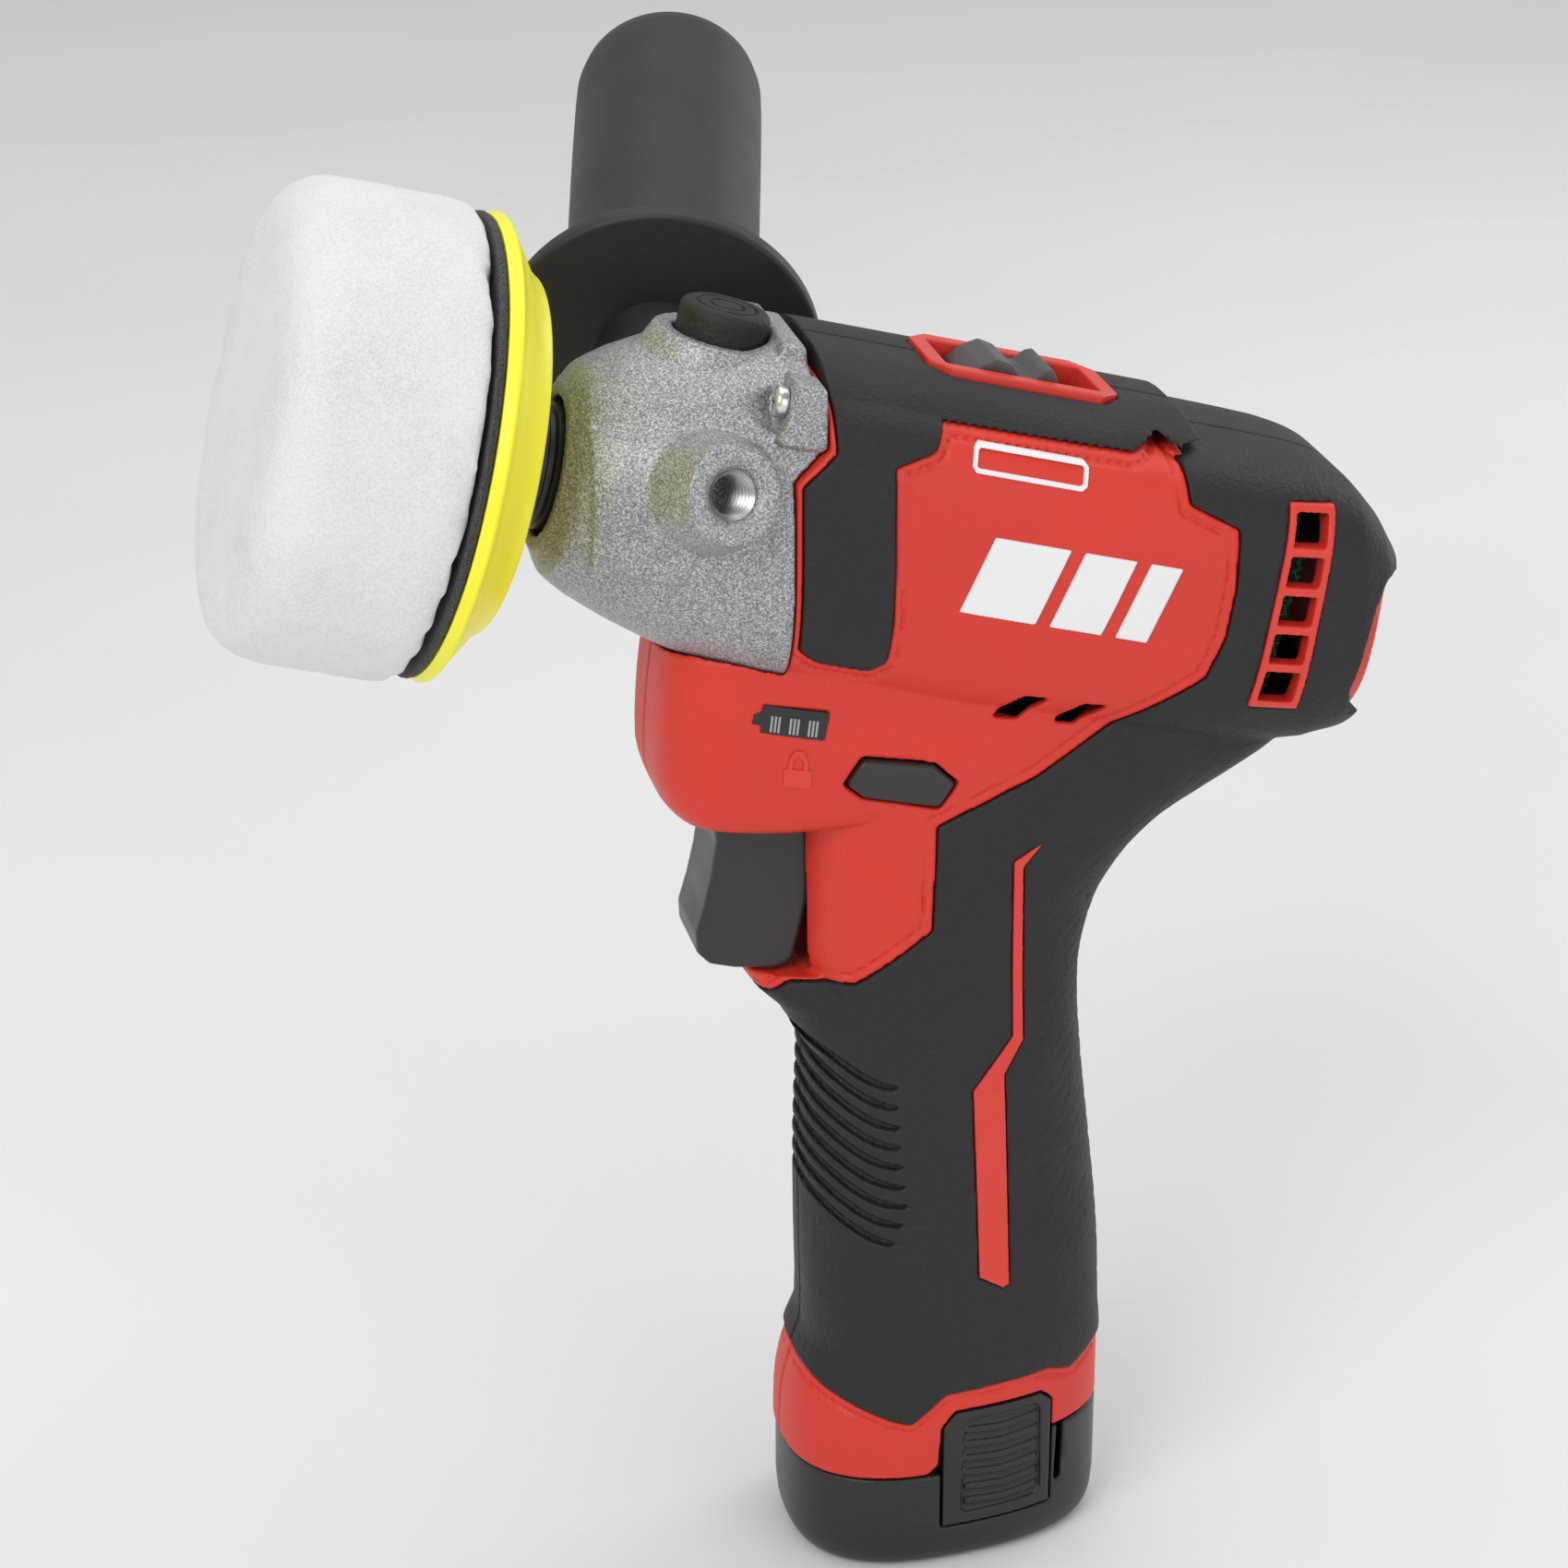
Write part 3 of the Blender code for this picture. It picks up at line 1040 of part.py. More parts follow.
def make_side_handle():
    turned("side_handle", [
        (0, HANDLE_END), (HANDLE_RADIUS - 6.5, HANDLE_END), (HANDLE_RADIUS - 2.2, HANDLE_END - 1.9),
        (HANDLE_RADIUS - 0.2, HANDLE_END - 6.0), (HANDLE_RADIUS + 0.1, HANDLE_END - 14),
        (HANDLE_RADIUS, HANDLE_END - 40), (HANDLE_START_RADIUS, FLANGE_FRONT + 3.0),
        (HANDLE_START_RADIUS + 1.0, FLANGE_FRONT + 0.6), (FLANGE_RADIUS - 1.0, FLANGE_FRONT),
        (FLANGE_RADIUS, FLANGE_FRONT - 0.8), (FLANGE_RADIUS, FLANGE_BACK + 0.8),
        (FLANGE_RADIUS - 1.0, FLANGE_BACK), (COLLAR_FRONT_RADIUS, FLANGE_BACK),
        (COLLAR_BACK_RADIUS, BOSS_FACE + FIT), (BOSS_THREAD_RADIUS, BOSS_FACE + FIT),
        (BOSS_THREAD_RADIUS, HANDLE_SOCKET), (0, HANDLE_SOCKET)],
        "black_soft", RIGHT_BOSS, steps=36, closed=False)
    turned("side_handle_stud", [
        (0, HANDLE_SOCKET - RUNNING), (BOSS_THREAD_RADIUS - FIT, HANDLE_SOCKET - RUNNING),
        (BOSS_THREAD_RADIUS - FIT, BOSS_FACE - STUD_DEPTH + 1.0),
        (BOSS_THREAD_RADIUS - 1.3, BOSS_FACE - STUD_DEPTH), (0, BOSS_FACE - STUD_DEPTH)],
        "steel", RIGHT_BOSS, steps=18, closed=False)


def battery_ring(z, inset):
    front, rear, width = BATTERY_FRONT + inset, BATTERY_REAR - inset, BATTERY_HALF_WIDTH - inset
    return level_ring(z, front, rear, width, 2.5, 0.16, 32)


def make_battery():
    levels = ((0, 3.4), (1.4, 1.6), (4.5, 0.4), (8.0, 0.0), (32.0, 0.0))
    case = add_object("battery_case", loft_mesh("battery_case", [
        battery_ring(z, inset) for z, inset in levels]), "black_hard")
    boolean(case, prism("case_region", CASE_REGION), "INTERSECT")
    room = add_object("case_room", loft_mesh("case_room", [
        battery_ring(z, inset) for z, inset in ((2.2, 4.2), (6.0, 2.4), (40.0, 2.4))]))
    boolean(case, room, "DIFFERENCE")
    for side, word in ((-1, "left"), (1, "right")):
        low, high = sorted((side * 10.0, side * 40.0))
        latch = prism("battery_latch_" + word, LATCH_REGION, low, high)
        dress(latch, "black_hard")
        skin = add_object("latch_skin_" + word, loft_mesh(
            "latch_skin_" + word, [battery_ring(z, 0.0) for z in (6, 34)]))
        core = add_object("latch_core_" + word, loft_mesh(
            "latch_core_" + word, [battery_ring(z, LATCH_WALL) for z in (4, 36)]))
        boolean(latch, skin, "INTERSECT")
        boolean(latch, core, "DIFFERENCE")
    tower = add_object("battery_tower", loft_mesh(
        "battery_tower", [tower_ring(z, 0) for z in (9.0, TOWER_TOP)]), "black_hard")
    inside = add_object("tower_inside", loft_mesh("tower_inside", [
        tower_ring(z, -TOWER_WALL) for z in (4.0, TOWER_TOP - TOWER_WALL)]))
    boolean(tower, inside, "DIFFERENCE")
    cell_top = CELL_FOOT + CELL_LENGTH
    cells = add_object("battery_cells", rod_mesh(
        "battery_cells", CELL_RADIUS, CELL_FOOT, cell_top, CELL_PLACES[0], 18), "cell_blue")
    others = []
    for i, at in enumerate(CELL_PLACES[1:]):
        name = "cell_%d" % (i + 2)
        others.append(add_object(name, rod_mesh(name, CELL_RADIUS, CELL_FOOT, cell_top, at, 18)))
    tie = add_object("cell_tie", box_mesh("cell_tie", (-12.0, -10.5, 40.3), (6.6, 10.5, 44.0)))
    boolean(cells, others + [tie], "UNION")
    foot, root, tip = TOWER_TOP + FIT, TOWER_TOP + 1.4, TOWER_TOP + 6.6
    blades = [(-8, foot), (-8, root)]
    for x in CONTACT_PLACES:
        blades += [(x - 0.45, root), (x - 0.45, tip), (x + 0.45, tip), (x + 0.45, root)]
    blades += [(8, root), (8, foot)]
    add_object("battery_contacts", side_prism_mesh("battery_contacts", blades, -4.5, 4.5), "copper")
    low, slot_top, high = TOWER_TOP + 2.2, TOWER_TOP + 7.4, TOWER_TOP + 10
    comb = [(-12, low), (-12, high), (12, high), (12, low)]
    for x in CONTACT_PLACES[::-1]:
        comb += [(x + 0.9, low), (x + 0.9, slot_top), (x - 0.9, slot_top), (x - 0.9, low)]
    add_object("terminal_block", side_prism_mesh("terminal_block", comb, -8, 8), "grey_plastic")


def make_housing_screws():
    for i, (x, z, y) in enumerate(screw_positions()):
        turned("housing_screw_%d" % (i + 1), [(0, 2.2), (1.6, 2.2), (2.5, 1.2), (2.5, 0), (0, 0)],
               "dark_steel", None, (x, y, z), (-math.pi / 2, 0, 0), 14, closed=False)


make_housing()
make_gear_head()
make_head_screws()
make_lock_button()
make_spindle()
make_gears()
make_motor()
make_hub_and_pad()
make_selector()
make_trigger()
make_side_handle()
make_battery()
make_housing_screws()
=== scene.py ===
"""The looks of the cordless dual action polisher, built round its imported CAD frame.

Sizes are in millimetres in the shape code and become metres when a mesh is made. Forms are rebuilt
finer than in CAD, joined, remeshed evenly and smoothed, so that their edges are rounded as moulded
and cast parts are.
"""

import math

import bmesh
import bpy
import numpy as np
from mathutils import Matrix, Vector
from mathutils.noise import noise


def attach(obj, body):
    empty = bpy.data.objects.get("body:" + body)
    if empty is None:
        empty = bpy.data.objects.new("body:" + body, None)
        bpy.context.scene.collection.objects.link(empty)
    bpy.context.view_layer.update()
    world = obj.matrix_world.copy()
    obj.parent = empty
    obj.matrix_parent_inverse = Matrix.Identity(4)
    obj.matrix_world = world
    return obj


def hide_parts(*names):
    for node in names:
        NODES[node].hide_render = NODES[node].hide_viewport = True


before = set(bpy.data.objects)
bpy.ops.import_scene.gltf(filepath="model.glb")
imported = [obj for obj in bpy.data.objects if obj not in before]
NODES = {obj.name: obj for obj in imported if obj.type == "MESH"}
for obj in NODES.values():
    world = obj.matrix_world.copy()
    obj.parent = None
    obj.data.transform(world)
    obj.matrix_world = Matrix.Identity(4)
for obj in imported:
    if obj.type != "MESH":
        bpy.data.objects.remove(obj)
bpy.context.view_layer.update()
MM = 0.001

# ---- the barrel's own frame: x rearward along the spindle, z up ----
BARREL_PITCH = math.radians(14.44)
BARREL_ORIGIN = Vector((-49.6, 0.0, 200.6))
BARREL = Matrix.Translation(BARREL_ORIGIN * MM) @ Matrix.Rotation(BARREL_PITCH, 4, "Y")
ALONG = BARREL @ Matrix.Rotation(math.pi / 2, 4, "Y")      # local z rearward
BOSS_UP_TILT = math.radians(17.06)
BOSS_BACK_TILT = math.radians(8.94)

# ---- seen sizes that several pieces share ----
HALF_GAP = 0.15
HOUSING_HALF_WIDTH = 27.0
HOUSING_TOP = 25.8
HOUSING_BOTTOM = 27.5
SADDLE_TOP = 29.7
HOUSING_FRONT = -32.0
HOUSING_TOP_FRONT = -26.3
RIM_STEP_HEIGHT = 214.6
HOUSING_REAR = 74.0
HOUSING_REAR_FACE = 122.4                # square to the barrel, from the barrel origin
BLOCK_FRONT = -52.0
BLOCK_BOTTOM = 143.3
BLOCK_HALF_WIDTH = 19.0
GRIP_HALF_WIDTH = 19.3
GRIP_FRONT = -25.2
COLLAR_BOTTOM = 19.4
BATTERY_HALF_WIDTH = 20.3
BATTERY_FRONT = -28.6
BATTERY_REAR = 29.0
WALL = 3.6
PROUD = 0.5                              # soft overmould above the hard shell
FAR = 120.0
TURN_PHASE = 0.37                        # keeps a turned cutter's points off the planes of other forms


# ------------------------------------------------------------------ mesh tools
def new_object(name, mesh):
    obj = bpy.data.objects.new(name, mesh)
    bpy.context.scene.collection.objects.link(obj)
    return obj


def mesh_of(bm, name):
    bmesh.ops.recalc_face_normals(bm, faces=bm.faces)
    mesh = bpy.data.meshes.new(name)
    bm.to_mesh(mesh)
    bm.free()
    return mesh


def evaluate(obj):
    """Applies all of the object's modifiers."""
    bpy.context.view_layer.update()
    graph = bpy.context.evaluated_depsgraph_get()
    mesh = bpy.data.meshes.new_from_object(obj.evaluated_get(graph))
    obj.modifiers.clear()
    old, obj.data = obj.data, mesh
    bpy.data.meshes.remove(old)
    return obj


def drop(*objects):
    for obj in objects:
        bpy.data.objects.remove(obj)


def cut(obj, others, operation="DIFFERENCE", keep=False):
    """A Boolean with each of the others, applied; the others go unless keep is set."""
    others = others if isinstance(others, list) else [others]
    for other in others:
        modifier = obj.modifiers.new("Boolean", "BOOLEAN")
        modifier.operation = operation
        modifier.object = other
        modifier.solver = "EXACT"
        evaluate(obj)
    if not keep:
        drop(*others)
    return obj


def remesh(obj, voxel, rounds=4, strength=0.5, keep_share=None):
    """Rebuilds the skin from even small faces and rounds its edges."""
    modifier = obj.modifiers.new("Remesh", "REMESH")
    modifier.mode = "VOXEL"
    modifier.voxel_size = voxel * MM
    if rounds:
        smooth = obj.modifiers.new("Smooth", "SMOOTH")
        smooth.iterations = rounds
        smooth.factor = strength
    if keep_share:
        thin = obj.modifiers.new("Thin", "DECIMATE")
        thin.ratio = keep_share
    evaluate(obj)
    obj.data.shade_smooth()
    return obj


def box(name, low, high, place=Matrix.Identity(4), bevel=0.0, segments=3):
    bm = bmesh.new()
    bmesh.ops.create_cube(bm, size=1)
    size = [b - a for a, b in zip(low, high)]
    middle = [(a + b) / 2 for a, b in zip(low, high)]
    bmesh.ops.scale(bm, vec=Vector(size) * MM, verts=bm.verts)
    bmesh.ops.translate(bm, vec=Vector(middle) * MM, verts=bm.verts)
    if bevel:
        bmesh.ops.bevel(bm, geom=bm.edges[:], offset=bevel * MM, segments=segments, profile=0.6, affect="EDGES")
    mesh = mesh_of(bm, name)
    mesh.transform(place)
    return new_object(name, mesh)


def extruded(name, outline, low, high, place=Matrix.Identity(4)):
    """An (x, y) outline between two heights."""
    bm = bmesh.new()
    bottom = [bm.verts.new((x * MM, y * MM, low * MM)) for x, y in outline]
    face = bm.faces.new(bottom)
    made = bmesh.ops.extrude_face_region(bm, geom=[face])
    top = [v for v in made["geom"] if isinstance(v, bmesh.types.BMVert)]
    bmesh.ops.translate(bm, vec=Vector((0, 0, (high - low) * MM)), verts=top)
    bmesh.ops.triangulate(bm, faces=[f for f in bm.faces if len(f.verts) > 4])
    mesh = mesh_of(bm, name)
    mesh.transform(place)
    return new_object(name, mesh)


SIDEWAYS = Matrix.Rotation(math.pi / 2, 4, "X")            # local x, y, z become x, z, -y


def prism(name, outline, low_y=-FAR / 2, high_y=FAR / 2):
    """An (x, z) outline between two sides of the tool."""
    return extruded(name, outline, -high_y, -low_y, SIDEWAYS)


def bevelled(obj, width):
    modifier = obj.modifiers.new("Edges", "BEVEL")
    modifier.width = width * MM
    modifier.segments = 4
    modifier.limit_method = "ANGLE"
    modifier.angle_limit = math.radians(60)
    evaluate(obj)
    return obj


def grown(outline, by):
    """An outline moved outwards by the same distance on every side."""
    area = sum(a[0] * b[1] - b[0] * a[1] for a, b in zip(outline, outline[1:] + outline[:1]))
    turn = 1 if area > 0 else -1
    moved = []
    for i, here in enumerate(outline):
        before, after = outline[i - 1], outline[(i + 1) % len(outline)]
        first = (Vector(here) - Vector(before)).normalized()
        second = (Vector(after) - Vector(here)).normalized()
        normal_a = Vector((first.y, -first.x)) * turn
        normal_b = Vector((second.y, -second.x)) * turn
        middle = (normal_a + normal_b).normalized()
        reach = by / max(0.5, middle.dot(normal_a))
        moved.append((here[0] + middle.x * reach, here[1] + middle.y * reach))
    return moved


def lathe(name, profile, steps=96, place=ALONG, offset=0.0):
    """A turned solid. The profile is (radius, z) with both ends on the axis; offset shifts it sideways."""
    bm = bmesh.new()
    rings = []
    for radius, z in profile:
        if radius < 1e-6:
            rings.append([bm.verts.new((0, offset * MM, z * MM))])
        else:
            rings.append([bm.verts.new((radius * math.cos(a) * MM, (radius * math.sin(a) + offset) * MM, z * MM))
                          for a in (2 * math.pi * (i + TURN_PHASE) / steps for i in range(steps))])
    for first, second in zip(rings, rings[1:]):
        for i in range(steps):
            j = (i + 1) % steps
            corners = [first[i % len(first)], first[j % len(first)], second[j % len(second)], second[i % len(second)]]
            unique = list(dict.fromkeys(corners))
            if len(unique) > 2:
                bm.faces.new(unique)
    mesh = mesh_of(bm, name)
    mesh.transform(place)
    obj = new_object(name, mesh)
    mesh.shade_smooth()
    mesh.set_sharp_from_angle(angle=math.radians(38))
    return obj


def arc(center, radius, start, end, count=5):
    """Points of a profile's round stretch; angles in degrees from +radius towards +z."""
    return [(center[0] + radius * math.cos(math.radians(start + (end - start) * i / count)),
             center[1] + radius * math.sin(math.radians(start + (end - start) * i / count)))
            for i in range(count + 1)]


def rounded(angle, half_a, half_b, power):
    c, s = math.cos(angle), math.sin(angle)
    return (half_a * math.copysign(abs(c) ** (2 / power), c), half_b * math.copysign(abs(s) ** (2 / power), s))


def smooth_stations(stations, per_span=5):
    """More stations between the given ones on Catmull-Rom curves; the first value of each leads."""
    made = []
    last = len(stations) - 1
    for i in range(last):
        p0, p1 = stations[max(0, i - 1)], stations[i]
        p2, p3 = stations[i + 1], stations[min(last, i + 2)]
        for k in range(per_span):
            t = k / per_span
            row = []
            for a, b, c, d in zip(p0, p1, p2, p3):
                span1 = (c - a) / 2
                span2 = (d - b) / 2
                row.append((2 * t**3 - 3 * t**2 + 1) * b + (t**3 - 2 * t**2 + t) * span1
                           + (-2 * t**3 + 3 * t**2) * c + (t**3 - t**2) * span2)
            lead = p1[0] + (p2[0] - p1[0]) * t
            row[0] = lead
            made.append(tuple(row))
    made.append(tuple(stations[-1]))
    return made


def loft(name, rings, place=Matrix.Identity(4)):
    bm = bmesh.new()
    made = [[bm.verts.new(Vector(p) * MM) for p in points] for points in rings]
    count = len(made[0])
    for first, second in zip(made, made[1:]):
        for i in range(count):
            j = (i + 1) % count
            bm.faces.new((first[i], first[j], second[j], second[i]))
    bm.faces.new(made[0])
    bm.faces.new(made[-1])
    mesh = mesh_of(bm, name)
    mesh.transform(place)
    return new_object(name, mesh)


def level_ring(z, front, rear, half_width, power, taper=0.0, count=72):
    middle, reach = (front + rear) / 2, (rear - front) / 2
    points = []
    for i in range(count):
        x, y = rounded(2 * math.pi * i / count, reach, half_width, power)
        points.append((middle + x, y * (1 - taper * x / reach), z))
    return points


def upright_ring(x, center, top, bottom, half_width, top_power, bottom_power, count=96):
    points = []
    for i in range(count):
        angle = 2 * math.pi * i / count
        up = math.sin(angle) >= 0
        y, z = rounded(angle, half_width, top if up else bottom, top_power if up else bottom_power)
        points.append((x, y, center + z))
    return points


# ------------------------------------------------------------------ the housing's forms
def axis_height(x):
    return BARREL_ORIGIN.z - (x - BARREL_ORIGIN.x) * math.tan(BARREL_PITCH)


def barrel_form(name, grow, top=HOUSING_TOP, top_power=4.6, front=HOUSING_FRONT):
    slope = 1 / math.cos(BARREL_PITCH)
    high, low, rear = top * slope, HOUSING_BOTTOM * slope, HOUSING_REAR
    stations = [
        # distance from the rear end, share of the half width, drop of the top, rise of the bottom
        (rear - front, 0.985, 0.0, 0.0), (rear, 1.0, 0.0, 0.0), (34.0, 0.985, 0.0, 1.5), (17.0, 0.93, 0.2, 6.0),
        (10.0, 0.86, 1.5, 9.0), (5.0, 0.75, 6.0, 13.0), (1.5, 0.62, 11.0, 16.5), (0.0, 0.5, 15.0, 20.0),
    ]
    rings = []
    for back, share, drop, rise in smooth_stations(stations, 4):
        x = rear - back + grow * max(0.0, 1 - back / 34.0)
        rings.append(upright_ring(x, axis_height(x), high - drop + grow, low - rise + grow,
                                  HOUSING_HALF_WIDTH * share + grow, top_power, 2.6))
    form = loft(name, rings)
    cut(form, box("rear_end", (HOUSING_REAR_FACE + grow, -FAR, -FAR), (2 * FAR, FAR, FAR), BARREL))
    return form


def block_form(name, grow):
    levels = [
        # z, front, rear, half width, power
        (BLOCK_BOTTOM - grow, BLOCK_FRONT + 9.0, 4.0, BLOCK_HALF_WIDTH - 4.0, 3.5),
        (BLOCK_BOTTOM + 1.6 - grow, BLOCK_FRONT + 4.2, 12.0, BLOCK_HALF_WIDTH - 1.6, 4.0),
        (BLOCK_BOTTOM + 4.8 - min(grow, 0), BLOCK_FRONT + 1.4, 20.0, BLOCK_HALF_WIDTH - 0.3, 4.0),
        (BLOCK_BOTTOM + 10.0, BLOCK_FRONT, 28.0, BLOCK_HALF_WIDTH, 4.5),
        (BLOCK_BOTTOM + 22.0, BLOCK_FRONT + 0.5, 42.0, BLOCK_HALF_WIDTH + 1.0, 4.5),
        (BLOCK_BOTTOM + 32.0 + min(grow, 0), BLOCK_FRONT + 1.8, 44.0, BLOCK_HALF_WIDTH + 2.0, 4.0),
        (BLOCK_BOTTOM + 34.5 + grow, BLOCK_FRONT + 3.6, 40.0, BLOCK_HALF_WIDTH + 0.5, 4.0),
    ]
    return loft(name, [level_ring(z, front - grow, rear + grow, width + grow, power)
                       for z, front, rear, width, power in smooth_stations(levels, 3)])


def grip_form(name, grow):
    levels = [
        # z, front, rear, half width, power, taper
        (COLLAR_BOTTOM, BATTERY_FRONT - 0.5, BATTERY_REAR + 0.1, BATTERY_HALF_WIDTH, 2.5, 0.16),
        (29.0, BATTERY_FRONT - 0.1, BATTERY_REAR, BATTERY_HALF_WIDTH, 2.5, 0.16),
        (37.5, GRIP_FRONT - 1.6, BATTERY_REAR - 0.1, BATTERY_HALF_WIDTH - 0.5, 2.5, 0.14),
        (43.0, GRIP_FRONT + 0.4, BATTERY_REAR - 0.6, GRIP_HALF_WIDTH, 2.5, 0.12),
        (59.0, GRIP_FRONT + 0.2, 27.6, GRIP_HALF_WIDTH, 2.5, 0.10),
        (78.0, GRIP_FRONT, 25.4, GRIP_HALF_WIDTH, 2.5, 0.06),
        (98.0, GRIP_FRONT + 0.5, 23.0, GRIP_HALF_WIDTH - 0.4, 2.6, 0.03),
        (111.0, GRIP_FRONT - 1.0, 22.3, GRIP_HALF_WIDTH - 0.8, 2.7, 0.0),
        (119.0, GRIP_FRONT - 2.0, 23.2, GRIP_HALF_WIDTH - 0.8, 2.9, 0.0),
        (127.0, GRIP_FRONT - 2.0, 25.6, GRIP_HALF_WIDTH - 0.6, 3.1, 0.0),
        (134.5, GRIP_FRONT - 2.0, 30.4, GRIP_HALF_WIDTH - 0.2, 3.3, 0.0),
        (140.5, GRIP_FRONT - 2.0, 37.0, GRIP_HALF_WIDTH, 3.4, 0.0),
        (146.5, GRIP_FRONT - 2.0, 47.5, GRIP_HALF_WIDTH + 0.5, 3.4, 0.0),
        (152.5, GRIP_FRONT - 2.0, 57.0, GRIP_HALF_WIDTH + 1.0, 3.4, 0.0),
        (165.0, GRIP_FRONT - 2.0, 60.0, GRIP_HALF_WIDTH + 1.0, 3.4, 0.0),
    ]
    return loft(name, [level_ring(z, front - grow, rear + grow, width + grow, power, taper)
                       for z, front, rear, width, power, taper in smooth_stations(levels, 3)])


def guard_form(name, grow):
    under = -0.4 * grow
    levels = [
        (97.0 + under, GRIP_FRONT + 1.4, GRIP_HALF_WIDTH - 3.0),
        (102.0 + under, GRIP_FRONT - 1.6, GRIP_HALF_WIDTH - 3.5),
        (107.5 + under, GRIP_FRONT - 4.6, GRIP_HALF_WIDTH - 4.0),
        (111.0 + under, GRIP_FRONT - 8.4, GRIP_HALF_WIDTH - 5.0),
        (112.9, GRIP_FRONT - 10.5, GRIP_HALF_WIDTH - 6.0),
        (114.9 + max(grow, -1.8), GRIP_FRONT - 11.0, GRIP_HALF_WIDTH - 6.6),
    ]
    return loft(name, [level_ring(z, front - grow, 10.0 + grow, width + grow, 2.8)
                       for z, front, width in smooth_stations(levels, 2)])


def housing_form(name, grow):
    """Barrel, block, grip and guard in one smooth skin."""
    whole = barrel_form(name, grow)
    cut(whole, [block_form("part", grow), grip_form("part", grow), guard_form("part", grow)], "UNION")
    return whole


BAND_REGION = [
    (HOUSING_TOP_FRONT, 245), (HOUSING_TOP_FRONT, RIM_STEP_HEIGHT),
    (HOUSING_FRONT, RIM_STEP_HEIGHT), (HOUSING_FRONT, 179.2), (-28.0, 176.6),
    (-19.6, 174.4), (-17.0, 176.0), (-16.4, 183.0), (-16.2, 209.4), (-9.3, 211.2), (-7.2, 214.8),
    (7.1, 211.2), (24.7, 206.9), (30.0, 208.6), (33.6, 206.2), (37.4, 206.6), (37.0, 211.5), (33.0, 245),
]
GRIP_REGION = [
    (-40, 39.0), (-28, 38.4), (-24.6, 36.2), (-13.4, 31.3), (-10.0, 30.4), (-3.7, 35.4), (16.0, 36.2),
    (20.6, 34.4), (26.0, 36.8), (FAR, 38.0), (FAR, 230), (43.4, 230), (42.2, 206.2), (32.8, 204.6),
    (33.2, 199.0), (41.5, 194.3), (41.1, 184.6), (39.6, 176.1), (36.5, 169.0), (24.5, 161.6),
    (10.1, 151.8), (-6.4, 144.0), (-6.8, 124.6), (-19.5, 114.6), (-29.6, 114.2), (-33.0, 111.4), (-40, 110.6),
]
COLLAR_CUT = [
    (-40, 0), (-40, COLLAR_BOTTOM), (-7.0, COLLAR_BOTTOM), (-4.9, 21.2), (-4.4, 28.8), (-1.8, 31.6),
    (14.8, 31.6), (17.2, 29.4), (17.2, 23.8), (40, 24.0), (40, 0),
]

CASE_REGION = [
    (-40, -1), (-40, COLLAR_BOTTOM - 0.3), (-4.4, COLLAR_BOTTOM - 0.3), (-4.4, 8.0), (17.2, 8.0),
    (17.2, 23.3), (40, 23.5), (40, -1),
]
LATCH_REGION = [(-4.0, 8.4), (-4.0, 28.6), (-1.6, 31.2), (14.6, 31.2), (16.8, 29.2), (16.8, 8.4)]
LOCK_OFF_OUTLINE = [(-22.1, 153.0), (-19.2, 157.3), (-7.3, 155.2), (-3.5, 151.7), (-6.4, 147.5), (-19.0, 150.4)]
GAUGE_OUTLINE = [
    (-37.9, 165.2), (-37.5, 167.0), (-36.2, 167.3), (-36.0, 168.6), (-25.2, 166.4), (-25.9, 161.4),
    (-36.6, 163.6), (-36.4, 164.9),
]
TRIGGER_OUTLINE = [
    (-41.8, 142.8), (-41.4, 139.5), (-42.3, 133.5), (-43.6, 127.8), (-45.0, 123.0), (-44.8, 119.6),
    (-42.6, 117.3), (-38.5, 116.2), (-31.0, 115.4), (-28.2, 117.0), (-25.4, 128.0), (-24.6, 136.5),
    (-25.2, 140.2), (-28.6, 142.4), (-34.0, 142.8),
]
ACCENT_OUTLINE = [
    (11.5, 139.4), (6.7, 136.3), (7.5, 103.4), (0.5, 94.1), (2.2, 57.8), (6.6, 55.0), (7.7, 55.6),
    (6.0, 96.6), (9.4, 102.6), (8.3, 135.2),
]
REAR_VENT_OUTLINE = [(51.3, 196.4), (57.7, 195.3), (52.3, 162.6), (45.3, 163.9)]
SIDE_VENTS = [
    [(1.8, 163.0), (6.7, 167.5), (11.4, 166.7), (6.5, 162.4)],
    [(12.0, 161.3), (16.9, 165.2), (21.3, 164.5), (16.2, 160.7)],
]
REAR_INLAY_OUTLINE = [
    (69.4, 181.0), (67.2, 177.0), (65.2, 170.5), (63.0, 163.5), (63.6, 158.6), (95.0, 152.0), (95.0, 186.0),
]
RIM_LOW, RIM_HIGH = 207.6, 212.6         # the rim slants back between these heights
RED_LIP = 1.0                            # red shell left showing in front of the black band


# ------------------------------------------------------------------ camera, light and floor
def place_camera():
    data = bpy.data.cameras.new("camera")
    data.lens = 95.35
    data.sensor_width = 36.0
    data.clip_end = 20.0
    camera = bpy.data.objects.new("camera", data)
    bpy.context.scene.collection.objects.link(camera)
    right = Vector((0.974, -0.2265, 0.0)).normalized()
    back = Vector((-0.208, -0.894, 0.3965)).normalized()
    up = back.cross(right).normalized()
    right = up.cross(back).normalized()
    turn = Matrix((right, up, back)).transposed().to_4x4()
    camera.matrix_world = Matrix.Translation((-0.1730, -0.6229, 0.4220)) @ turn
    bpy.context.scene.camera = camera


def area_light(name, place, target, size, power, color=(1, 1, 1)):
    data = bpy.data.lights.new(name, "AREA")
    data.shape = "RECTANGLE"
    data.size, data.size_y = size
    data.energy = power
    data.color = color
    light = bpy.data.objects.new(name, data)
    bpy.context.scene.collection.objects.link(light)
    light.location = place
    light.rotation_euler = (Vector(target) - Vector(place)).to_track_quat("-Z", "Y").to_euler()


